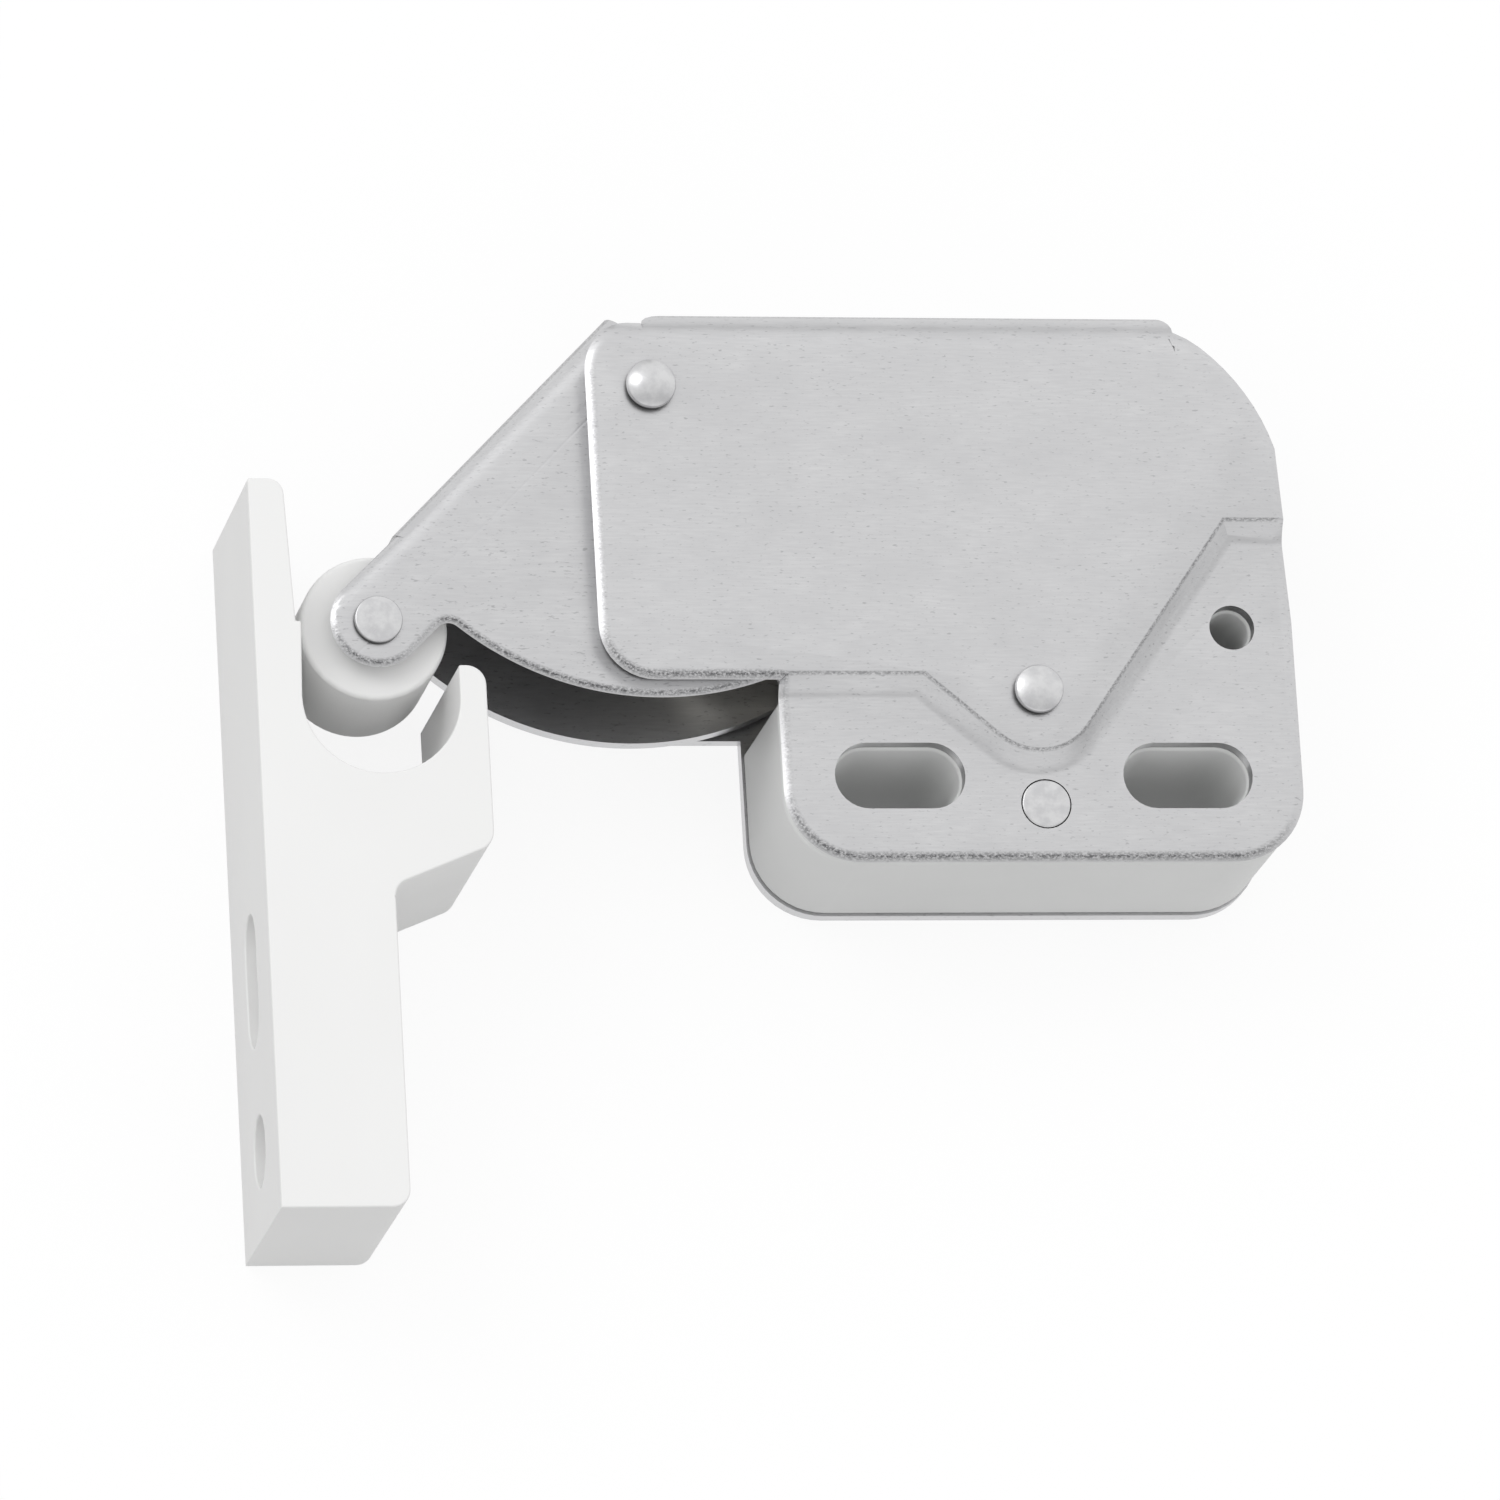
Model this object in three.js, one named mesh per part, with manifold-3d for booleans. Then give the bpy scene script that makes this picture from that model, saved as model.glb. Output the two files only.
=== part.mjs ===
// Touch latch: a folded sheet-steel housing with a sprung roller arm, and the plastic strike that it holds.
// Millimetres, +Z up. The latch lies on its back plate. The origin is on the back face, midway between the
// two screw slots. +X is the way the door pushes in, and +Y points to the folded edge.

import * as THREE from 'three';
import { mergeVertices } from 'three/addons/utils/BufferGeometryUtils.js';
import Module from 'manifold-3d';

const wasm = await Module();
wasm.setup();

// Clearances
const SEAT_GAP = 0.03;
const PRESS_GAP = 0.05;
const RUNNING_GAP = 0.06;
const FREE_GAP = 0.3;

// Housing sheet and its heights above the back face
const SHEET = 0.9;
const FLANGE_HEIGHT = 12.0;
const POCKET_RISE = 1.0;
const POCKET_SLOPE_RUN = 0.6;

// Housing outline, measured from the origin
const POCKET_LEFT = 24.9;
const POCKET_BOTTOM = 5.3;
const POCKET_CORNER = 3.1;
const POCKET_TOP_DROP = 0.9;
const FLANGE_LEFT = 14.8;
const FLANGE_RIGHT = 14.8;
const FLANGE_DROP = 4.95;
const FLANGE_CORNER = 4.2;
const HOUSING_TOP = 27.2;
const FOLD_RADIUS = 2.7;
const FOLD_RIGHT = 8.9;
const FOLD_LIP = 2.0;
const FOLD_END_GAP = 1.0;
const TAB_OVERLAP = 0.2;
const SHOULDER_DROP = 1.3;
const SHOULDER_HEIGHT = 7.0;
const SHOULDER_INSET = 0.5;
const SHOULDER_RADIUS = 12.0;
const LEAN_LENGTH = 9.9;

// Step between the raised pocket and the screw flange
const STEP_LEFT_RISE = 0.48;
const STEP_LEFT_KNEE = 6.28;
const STEP_RIGHT_KNEE = 3.85;
const STEP_RIGHT_LEVEL = 14.8;
const VALLEY_RADIUS = 3.26;

// Screw slots and locating hole in the flange
const SLOT_SPACING = 16.4;
const SLOT_LENGTH = 7.4;
const SLOT_WIDTH = 3.8;
const LOCATING_HOLE_RADIUS = 1.29;
const LOCATING_HOLE_INSET = 3.5;
const LOCATING_HOLE_HEIGHT = 8.62;

// Spacer block behind the flange
const BLOCK_INSET = 0.1;
const BLOCK_STEP_GAP = 1.18;
const BLOCK_SLOT_INSET = 0.12;
const BLOCK_RIVET_RADIUS = 1.38;
const BLOCK_RIVET_DROP = 1.64;
const BLOCK_RIVET_PROUD = 0.12;

// Arm pivot: rivet, sleeve and washers
const PIVOT_INSET_X = 3.6;
const PIVOT_BELOW_BEND = 2.2;
const PIVOT_RADIUS = 1.0;
const PIVOT_HEAD_RADIUS = 1.4;
const PIVOT_HEAD_SIDE = 0.6;
const PIVOT_HEAD_DOME = 0.45;
const SLEEVE_RADIUS = 1.6;
const WASHER_RADIUS = 2.4;
const ARM_SIDE_GAP = 0.55;
const WASHER_SIDE_GAP = 0.1;

// Swing arm: a channel with two cheeks and a web
const ARM_SHEET = 1.0;
const ARM_REACH = 20.58;
const ARM_REST_ANGLE = 220.07;
const ARM_STROKE = 13.0;
const ARM_BOSS_RADIUS = 2.62;
const WEB_OFFSET = 4.66;
const WEB_BEND_RADIUS = 1.5;
const WEB_END_PAST_PIVOT = 2.1;
const WEB_START_PAST_ROLLER = 0.55;
const CHEEK_EDGE_STEP = 0.2;
const CHEEK_BLOCK_GAP = 1.29;
const CHEEK_END_ANGLE = -56;
const PIVOT_BOSS_RADIUS = 3.1;
const NECK_FILLET = 0.8;
const NECK_ANGLE = 10.06;

// Roller and its pin
const ROLLER_RADIUS = 4.15;
const ROLLER_SIDE_GAP = 0.35;
const ROLLER_EDGE = 0.3;
const ROLLER_PIN_RADIUS = 1.0;
const ROLLER_HEAD_RADIUS = 1.35;
const ROLLER_HEAD_HEIGHT = 0.45;
const ROLLER_HEAD_CHAMFER = 0.12;

// Follower stud on the arm, and the pawl whose track it runs in
const STUD_RUN = 5.786;
const STUD_RISE = 3.882;
const STUD_RADIUS = 0.6;
const STUD_NECK_RADIUS = 0.45;
const PAWL_PIN_X = -0.32;
const PAWL_PIN_DROP = 0.7;
const PAWL_PIN_RADIUS = 1.0;
const PAWL_HEAD_RADIUS = 1.37;
const PAWL_HEAD_SIDE = 0.6;
const PAWL_HEAD_DOME = 0.3;
const PAWL_BUSH_RADIUS = 1.5;
const PAWL_HUB_RADIUS = 3.0;
const PAWL_THICKNESS = 3.6;
const PAWL_RATIO = -0.3;
const PAWL_LEVER_WIDTH = 4.4;
const TRACK_DEPTH = 1.6;
const TRACK_CLEARANCE = 0.45;
const TRACK_WALL = 1.1;
const HEART_WIDTH = 1.2;
const HEART_LENGTH = 1.25;
const HEART_NOTCH = 0.35;
const PEG_RADIUS = 0.6;
const PEG_HEIGHT = 1.2;
const PEG_REACH = 5.5;

// Torsion springs
const ARM_SPRING_WIRE = 0.8;
const ARM_SPRING_TURNS = 5;
const ARM_SPRING_HOUSING_LEG = 8.0;
const ARM_SPRING_WEB_LEG = 5.0;
const PAWL_SPRING_WIRE = 0.35;
const PAWL_SPRING_TURNS = 2;
const PAWL_SPRING_PEG_LEG = 6.6;
const PAWL_SPRING_BLOCK_LEG = 5.0;
const CURL_STEPS = 8;
const WIRE_SIDES = 5;

// Strike, measured from the middle of its roller notch
const STRIKE_WIDTH = 13.0;
const STRIKE_TRAVEL = 3.6;
const NOTCH_GAP = 0.25;
const NOTCH_SHIFT = 0.25;
const NOTCH_DROP = 4.75;
const STRIKE_FACE_DEPTH = 6.9;
const STRIKE_TOP = 12.55;
const STRIKE_BOTTOM = 29.0;
const STRIKE_TOP_THICKNESS = 2.0;
const STRIKE_TOP_ROUND = 0.9;
const BAR_THICKNESS = 7.15;
const BAR_CORNER = 1.0;
const PRONG_THICKNESS = 1.5;
const PRONG_CHEEK_GAP = 0.31;
const PRONG_TIP_ROUND = 1.1;
const PRONG_CORNER_DROP = 8.5;
const PRONG_CORNER = 1.2;
const PRONG_UNDERSIDE_DROP = 2.3;
const UNDERSIDE_FILLET = 1.0;
const STRIKE_SLOT_DROP = 14.5;
const STRIKE_SLOT_LENGTH = 7.5;
const STRIKE_SLOT_WIDTH = 3.8;
const STRIKE_HOLE_DROP = 24.15;
const STRIKE_HOLE_RADIUS = 2.0;

// Fineness of round stretches
const ARC_STEPS = 6;
const DOME_STEPS = 4;
const ROUND_SIDES = 32;
const ROLLER_SIDES = 48;
const REACH_PAST = 2;
const MERGE_DISTANCE = 1e-5;
const GAP_SAMPLES = 400;

// Heights worked out from the sheet
const POCKET_HEIGHT = FLANGE_HEIGHT + POCKET_RISE;
const ARM_BACK = SHEET + ARM_SIDE_GAP;
const ARM_FRONT = POCKET_HEIGHT - SHEET - ARM_SIDE_GAP;
const ARM_INNER_BACK = ARM_BACK + ARM_SHEET;
const ARM_INNER_FRONT = ARM_FRONT - ARM_SHEET;
const MID_HEIGHT = (ARM_BACK + ARM_FRONT) / 2;
const PAWL_TOP = MID_HEIGHT + PAWL_THICKNESS / 2;
const PAWL_BOTTOM = MID_HEIGHT - PAWL_THICKNESS / 2;

// Plane geometry
const radians = THREE.MathUtils.degToRad;
const point = (x, y) => new THREE.Vector2(x, y);
const toward = (angle) => point(Math.cos(angle), Math.sin(angle));
const along = (start, direction, length) => start.clone().addScaledVector(direction, length);
const leftOf = (direction) => point(-direction.y, direction.x);
const angleFrom = (centre, target) => target.clone().sub(centre).angle();
const turnedAbout = (target, centre, angle) => target.clone().rotateAround(centre, angle);

// Point at the given distances from two centres, on the left of the line from the first to the second.
function circleCrossing(first, firstRadius, second, secondRadius) {
  const span = second.clone().sub(first);
  const distance = span.length();
  const direction = span.normalize();
  const run = (distance ** 2 + firstRadius ** 2 - secondRadius ** 2) / (2 * distance);
  const rise = Math.sqrt(firstRadius ** 2 - run ** 2);
  return along(along(first, direction, run), leftOf(direction), rise);
}

// Direction of the normal, from the centre, of a line through a point that touches a circle.
function tangentNormal(centre, radius, through, side) {
  const lean = Math.acos(radius / centre.distanceTo(through));
  return angleFrom(centre, through) + side * lean;
}

// Lean that brings the end of a leg, which leaves a coil as a tangent, to a distance from the coil's axis.
function legLean(coilRadius, legLength, distance) {
  const reach = Math.hypot(coilRadius, legLength);
  return Math.atan2(legLength, coilRadius) - Math.acos(distance / reach);
}

const PIVOT = point(PIVOT_INSET_X - POCKET_LEFT, HOUSING_TOP - FOLD_RADIUS - PIVOT_BELOW_BEND);
const PAWL_PIN = point(PAWL_PIN_X, POCKET_BOTTOM - PAWL_PIN_DROP);
const ROLLER_AXIS = along(PIVOT, toward(radians(ARM_REST_ANGLE)), ARM_REACH);
const NOTCH = point(ROLLER_AXIS.x - NOTCH_SHIFT, ROLLER_AXIS.y - NOTCH_DROP);
const BLOCK_RIVET = point(0, -BLOCK_RIVET_DROP);
const LOCATING_HOLE = point(FLANGE_RIGHT - LOCATING_HOLE_INSET, LOCATING_HOLE_HEIGHT);

// The lower edge of the cheeks is round about the pivot, and clears the near corner of the spacer block.
const SHELF = POCKET_BOTTOM + STEP_LEFT_RISE;
const BLOCK_CORNER = point(BLOCK_INSET - FLANGE_LEFT, SHELF - BLOCK_STEP_GAP);
const CHEEK_RADIUS = PIVOT.distanceTo(BLOCK_CORNER) - CHEEK_BLOCK_GAP;
const STUD = point(PIVOT.x + STUD_RUN, SHELF + STUD_RISE);

// The web runs beside the line from the roller to the pivot, and the cheeks' edge touches the roller's boss.
const CHEEK_EDGE = WEB_OFFSET - CHEEK_EDGE_STEP;
const WEB_LEAN = Math.asin((CHEEK_EDGE - ARM_BOSS_RADIUS) / ARM_REACH);
const WEB_ANGLE = radians(ARM_REST_ANGLE) - Math.PI + WEB_LEAN;
const WEB_DIRECTION = toward(WEB_ANGLE);
const WEB_NORMAL = leftOf(WEB_DIRECTION);
const ROLLER_STATION = -ARM_REACH * Math.cos(WEB_LEAN);
const WEB_START = ROLLER_STATION + ROLLER_RADIUS + WEB_START_PAST_ROLLER;
const armPoint = (station, offset) => along(along(PIVOT, WEB_DIRECTION, station), WEB_NORMAL, offset);
const FOLD_LEFT = armPoint(WEB_END_PAST_PIVOT, WEB_OFFSET - ARM_SHEET).x + FOLD_END_GAP;

// Turns a drawing's axes so that they lie along Y and Z, and its depth along X.
const SIDEWAYS = new THREE.Matrix4().makeBasis(
  new THREE.Vector3(0, 1, 0), new THREE.Vector3(0, 0, 1), new THREE.Vector3(1, 0, 0),
);

// Closed solid from a geometry whose shared corners are merged.
function solidOf(geometry) {
  const bare = geometry.index ? geometry.toNonIndexed() : geometry.clone();
  bare.deleteAttribute('normal');
  bare.deleteAttribute('uv');
  const merged = mergeVertices(bare, MERGE_DISTANCE);
  const corners = merged.index.array;
  const kept = [];
  for (let i = 0; i < corners.length; i += 3) {
    const [a, b, c] = corners.slice(i, i + 3);
    if (a !== b && b !== c && c !== a) kept.push(a, b, c);
  }
  const build = (triangles) => new wasm.Manifold(new wasm.Mesh({
    numProp: 3,
    vertProperties: new Float32Array(merged.attributes.position.array),
    triVerts: new Uint32Array(triangles),
  }));
  const solid = build(kept);
  return solid.volume() > 0 ? solid : build(kept.reverse());
}

function meshOf(name, solid, material) {
  const { numProp, vertProperties, triVerts } = solid.getMesh();
  const geometry = new THREE.BufferGeometry();
  geometry.setAttribute('position', new THREE.BufferAttribute(new Float32Array(vertProperties), numProp));
  geometry.setIndex(new THREE.BufferAttribute(new Uint32Array(triVerts), 1));
  geometry.computeVertexNormals();
  const mesh = new THREE.Mesh(geometry, material);
  mesh.name = name;
  return mesh;
}

// Plate of a drawn outline between two heights.
function plate(shape, bottom, top) {
  const options = { depth: top - bottom, bevelEnabled: false, curveSegments: ARC_STEPS };
  return solidOf(new THREE.ExtrudeGeometry(shape, options).translate(0, 0, bottom));
}

function polygon(points) {
  return new THREE.Shape(points);
}

function capsule(start, end, radius) {
  const heading = angleFrom(start, end);
  const shape = new THREE.Shape();
  shape.absarc(end.x, end.y, radius, heading - Math.PI / 2, heading + Math.PI / 2);
  shape.absarc(start.x, start.y, radius, heading + Math.PI / 2, heading + 1.5 * Math.PI);
  shape.closePath();
  return shape;
}

function slotShape(centre, length, width) {
  const half = point((length - width) / 2, 0);
  return capsule(centre.clone().sub(half), centre.clone().add(half), width / 2);
}

// Turned solid about a vertical axis, from a profile of [radius, height] that starts and ends on the axis.
function turned(centre, profile, sides = ROUND_SIDES) {
  const points = profile.map(([radius, height]) => point(radius, height));
  const lathe = new THREE.LatheGeometry(points, sides).rotateX(Math.PI / 2);
  return solidOf(lathe.translate(centre.x, centre.y, 0));
}

function rod(centre, radius, bottom, top, sides = ROUND_SIDES) {
  return turned(centre, [[0, bottom], [radius, bottom], [radius, top], [0, top]], sides);
}

function tube(centre, inner, outer, bottom, top) {
  return rod(centre, outer, bottom, top).subtract(rod(centre, inner, bottom - REACH_PAST, top + REACH_PAST));
}

// Rivet that is flush behind and has a short round head with a dome in front.
function domedRivet(centre, radius, headRadius, side, dome, seat) {
  const rim = seat + side;
  const profile = [[0, SEAT_GAP], [radius, SEAT_GAP], [radius, seat], [headRadius, seat]];
  for (let step = 0; step < DOME_STEPS; step += 1) {
    const angle = (step / DOME_STEPS) * (Math.PI / 2);
    profile.push([headRadius * Math.cos(angle), rim + dome * Math.sin(angle)]);
  }
  return turned(centre, [...profile, [0, rim + dome]]);
}

// Outline that the front and back plates share, as far as the lips of the fold along their top.
function housingOutline() {
  const bottomY = -FLANGE_DROP + FLANGE_CORNER;
  const rightX = FLANGE_RIGHT - FLANGE_CORNER;
  const leftX = -FLANGE_LEFT + FLANGE_CORNER;
  const pocketX = -POCKET_LEFT + POCKET_CORNER;
  const shoulderTop = point(FOLD_RIGHT, HOUSING_TOP - SHOULDER_DROP);
  const shoulderSide = point(FLANGE_RIGHT - SHOULDER_INSET, shoulderTop.y - SHOULDER_HEIGHT);
  const shoulder = circleCrossing(shoulderSide, SHOULDER_RADIUS, shoulderTop, SHOULDER_RADIUS);
  const topCorner = point(pocketX, HOUSING_TOP - POCKET_TOP_DROP - POCKET_CORNER);
  const lipMiddle = HOUSING_TOP - FOLD_RADIUS - FOLD_LIP / 2;
  const shape = new THREE.Shape();
  shape.absarc(rightX, bottomY, FLANGE_CORNER, -Math.PI / 2, 0);
  shape.lineTo(FLANGE_RIGHT, shoulderSide.y - LEAN_LENGTH);
  shape.absarc(
    shoulder.x, shoulder.y, SHOULDER_RADIUS,
    angleFrom(shoulder, shoulderSide), angleFrom(shoulder, shoulderTop),
  );
  const tabEnd = FOLD_LEFT + TAB_OVERLAP;
  const tabShare = THREE.MathUtils.clamp((tabEnd - topCorner.x) / POCKET_CORNER, -1, 0);
  const tabAngle = Math.acos(tabShare);
  shape.lineTo(FOLD_RIGHT - TAB_OVERLAP, shoulderTop.y);
  shape.lineTo(FOLD_RIGHT - TAB_OVERLAP, lipMiddle);
  shape.lineTo(tabEnd, lipMiddle);
  shape.lineTo(tabEnd, topCorner.y + POCKET_CORNER * Math.sin(tabAngle));
  shape.absarc(topCorner.x, topCorner.y, POCKET_CORNER, tabAngle, Math.PI);
  shape.absarc(pocketX, POCKET_BOTTOM + POCKET_CORNER, POCKET_CORNER, Math.PI, 1.5 * Math.PI);
  shape.lineTo(-FLANGE_LEFT, POCKET_BOTTOM);
  shape.absarc(leftX, bottomY, FLANGE_CORNER, Math.PI, 1.5 * Math.PI);
  shape.closePath();
  return shape;
}

// Region of the raised pocket, grown by a margin: two shelves with a valley round the pawl's pin.
function pocketRegion(grow, farTop, leftDrop) {
  const leftKnee = point(PAWL_PIN.x - STEP_LEFT_KNEE, SHELF);
  const rightKnee = point(FLANGE_RIGHT - STEP_RIGHT_KNEE, STEP_RIGHT_LEVEL);
  const leftAngle = tangentNormal(PAWL_PIN, VALLEY_RADIUS, leftKnee, 1);
  const rightAngle = tangentNormal(PAWL_PIN, VALLEY_RADIUS, rightKnee, -1);
  const radius = VALLEY_RADIUS + grow;
  const kneeAt = (angle, level) => {
    const touch = along(PAWL_PIN, toward(angle), radius);
    const slope = leftOf(toward(angle));
    return along(touch, slope, (level - touch.y) / slope.y);
  };
  const left = kneeAt(leftAngle, SHELF - grow);
  const right = kneeAt(rightAngle, STEP_RIGHT_LEVEL - grow);
  const far = POCKET_LEFT + REACH_PAST;
  const shape = new THREE.Shape();
  shape.moveTo(-far, SHELF - grow - leftDrop);
  if (leftDrop > 0) {
    shape.lineTo(-FLANGE_LEFT - POCKET_SLOPE_RUN / 2, SHELF - grow - leftDrop);
    shape.lineTo(-FLANGE_LEFT - POCKET_SLOPE_RUN / 2, SHELF - grow);
  }
  shape.lineTo(left.x, left.y);
  shape.absarc(PAWL_PIN.x, PAWL_PIN.y, radius, leftAngle, rightAngle);
  shape.lineTo(right.x, right.y);
  shape.lineTo(far, STEP_RIGHT_LEVEL - grow);
  shape.lineTo(far, farTop);
  shape.lineTo(-far, farTop);
  shape.closePath();
  return shape;
}

// Raised block of the pocket's region with sloped sides, whose top is at the given height.
function pocketRise(top) {
  const farTop = POCKET_LEFT + FLANGE_RIGHT + REACH_PAST;
  const region = pocketRegion(0, farTop, STEP_LEFT_RISE + POCKET_SLOPE_RUN + REACH_PAST);
  const options = {
    depth: SHEET,
    bevelEnabled: true,
    bevelThickness: POCKET_RISE,
    bevelSize: POCKET_SLOPE_RUN,
    bevelSegments: 1,
    curveSegments: ARC_STEPS,
  };
  const raised = new THREE.ExtrudeGeometry(region, options);
  return solidOf(raised.translate(0, 0, top - POCKET_RISE - SHEET));
}

// Fold along the top edge, with a lip on each side that meets the plate there.
function foldStrip() {
  const bend = HOUSING_TOP - FOLD_RADIUS;
  const lip = bend - FOLD_LIP;
  const inner = FOLD_RADIUS - SHEET;
  const shape = new THREE.Shape();
  shape.absarc(bend, FOLD_RADIUS, FOLD_RADIUS, -Math.PI / 2, 0);
  shape.absarc(bend, POCKET_HEIGHT - FOLD_RADIUS, FOLD_RADIUS, 0, Math.PI / 2);
  shape.lineTo(lip, POCKET_HEIGHT);
  shape.lineTo(lip, POCKET_HEIGHT - SHEET);
  shape.absarc(bend, POCKET_HEIGHT - FOLD_RADIUS, inner, Math.PI / 2, 0, true);
  shape.absarc(bend, FOLD_RADIUS, inner, 0, -Math.PI / 2, true);
  shape.lineTo(lip, SHEET);
  shape.lineTo(lip, 0);
  shape.closePath();
  const options = { depth: FOLD_RIGHT - FOLD_LEFT, bevelEnabled: false, curveSegments: ARC_STEPS };
  const strip = new THREE.ExtrudeGeometry(shape, options).applyMatrix4(SIDEWAYS);
  return solidOf(strip.translate(FOLD_LEFT, 0, 0));
}

// Slots and locating hole that pass through the flange, grown by a margin.
function flangeHoles(grow) {
  const top = POCKET_HEIGHT + REACH_PAST;
  const holes = [-1, 1].map((side) => {
    const centre = point((side * SLOT_SPACING) / 2, 0);
    const shape = slotShape(centre, SLOT_LENGTH + 2 * grow, SLOT_WIDTH + 2 * grow);
    return plate(shape, -REACH_PAST, top);
  });
  holes.push(rod(LOCATING_HOLE, LOCATING_HOLE_RADIUS + grow, -REACH_PAST, top));
  return holes;
}

// Both plates, with the raised pocket pressed into the front one.
function flatPlates() {
  const outline = housingOutline();
  const under = FLANGE_HEIGHT - SHEET;
  const raised = pocketRise(POCKET_HEIGHT).intersect(plate(outline, under, POCKET_HEIGHT));
  const front = plate(outline, under, FLANGE_HEIGHT).add(raised).subtract(pocketRise(POCKET_HEIGHT - SHEET));
  return front.add(plate(outline, 0, SHEET));
}

function housingShell() {
  let shell = flatPlates().add(foldStrip());
  for (const hole of flangeHoles(0)) shell = shell.subtract(hole);
  const rivets = [[PIVOT, PIVOT_RADIUS], [PAWL_PIN, PAWL_PIN_RADIUS], [BLOCK_RIVET, BLOCK_RIVET_RADIUS]];
  for (const [centre, radius] of rivets) {
    shell = shell.subtract(rod(centre, radius + PRESS_GAP, -REACH_PAST, POCKET_HEIGHT + REACH_PAST));
  }
  return shell;
}

function spacerBlock() {
  const bottom = SHEET + SEAT_GAP;
  const top = FLANGE_HEIGHT - SHEET - SEAT_GAP;
  const corner = FLANGE_CORNER - BLOCK_INSET;
  const low = point(-FLANGE_LEFT + FLANGE_CORNER, -FLANGE_DROP + FLANGE_CORNER);
  const highX = FLANGE_RIGHT - FLANGE_CORNER;
  const shape = new THREE.Shape();
  shape.absarc(low.x, low.y, corner, Math.PI, 1.5 * Math.PI);
  shape.absarc(highX, low.y, corner, -Math.PI / 2, 0);
  shape.lineTo(highX + corner, STEP_RIGHT_LEVEL);
  shape.lineTo(low.x - corner, STEP_RIGHT_LEVEL);
  shape.closePath();
  const cleared = plate(pocketRegion(BLOCK_STEP_GAP, HOUSING_TOP, 0), bottom - REACH_PAST, top + REACH_PAST);
  let block = plate(shape, bottom, top).subtract(cleared);
  for (const hole of flangeHoles(-BLOCK_SLOT_INSET)) block = block.subtract(hole);
  const bore = rod(BLOCK_RIVET, BLOCK_RIVET_RADIUS + PRESS_GAP, bottom - REACH_PAST, top + REACH_PAST);
  return block.subtract(bore);
}

// Side outline of the arm: the roller's boss, the neck, the round lower edge and the pivot's boss, closed by
// the given corners on the web's side, as stations and offsets.
function armOutline(corners) {
  const neckWay = toward(radians(ARM_REST_ANGLE + NECK_ANGLE));
  const neck = along(PIVOT, neckWay, CHEEK_RADIUS + NECK_FILLET);
  const neckReach = neck.distanceTo(ROLLER_AXIS);
  const fillet = Math.min(NECK_FILLET, neckReach - ARM_BOSS_RADIUS);
  const neckLean = Math.acos((ARM_BOSS_RADIUS + fillet) / neckReach);
  const bossEnd = angleFrom(ROLLER_AXIS, neck) - neckLean;
  const bossStart = WEB_ANGLE + Math.PI / 2;
  const sectorEnd = radians(CHEEK_END_ANGLE);
  const pivotBossEnd = WEB_ANGLE + Math.acos(Math.min(1, WEB_END_PAST_PIVOT / PIVOT_BOSS_RADIUS));
  const shape = new THREE.Shape();
  shape.absarc(ROLLER_AXIS.x, ROLLER_AXIS.y, ARM_BOSS_RADIUS, bossStart, bossEnd);
  shape.absarc(neck.x, neck.y, fillet, bossEnd + Math.PI, angleFrom(neck, PIVOT), true);
  shape.absarc(PIVOT.x, PIVOT.y, CHEEK_RADIUS, angleFrom(PIVOT, neck), sectorEnd);
  shape.absarc(PIVOT.x, PIVOT.y, PIVOT_BOSS_RADIUS, 0, pivotBossEnd);
  for (const [station, offset] of corners) {
    const corner = armPoint(station, offset);
    shape.lineTo(corner.x, corner.y);
  }
  shape.closePath();
  return shape;
}

// Strip along the web with a rounded channel section, open below.
function armChannel() {
  const depth = CHEEK_RADIUS + ARM_REACH;
  const inner = WEB_BEND_RADIUS - ARM_SHEET;
  const bend = WEB_OFFSET - WEB_BEND_RADIUS;
  const shape = new THREE.Shape();
  shape.absarc(bend, ARM_BACK + WEB_BEND_RADIUS, WEB_BEND_RADIUS, -Math.PI / 2, 0);
  shape.absarc(bend, ARM_FRONT - WEB_BEND_RADIUS, WEB_BEND_RADIUS, 0, Math.PI / 2);
  shape.lineTo(-depth, ARM_FRONT);
  shape.lineTo(-depth, ARM_INNER_FRONT);
  shape.absarc(bend, ARM_FRONT - WEB_BEND_RADIUS, inner, Math.PI / 2, 0, true);
  shape.absarc(bend, ARM_BACK + WEB_BEND_RADIUS, inner, 0, -Math.PI / 2, true);
  shape.lineTo(-depth, ARM_INNER_BACK);
  shape.lineTo(-depth, ARM_BACK);
  shape.closePath();
  const options = { depth: depth - WEB_START, bevelEnabled: false, curveSegments: ARC_STEPS };
  const strip = new THREE.ExtrudeGeometry(shape, options);
  const start = armPoint(WEB_START, 0);
  const basis = new THREE.Matrix4().makeBasis(
    new THREE.Vector3(WEB_NORMAL.x, WEB_NORMAL.y, 0),
    new THREE.Vector3(0, 0, 1),
    new THREE.Vector3(WEB_DIRECTION.x, WEB_DIRECTION.y, 0),
  );
  return solidOf(strip.applyMatrix4(basis).translate(start.x, start.y, 0));
}

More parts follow.
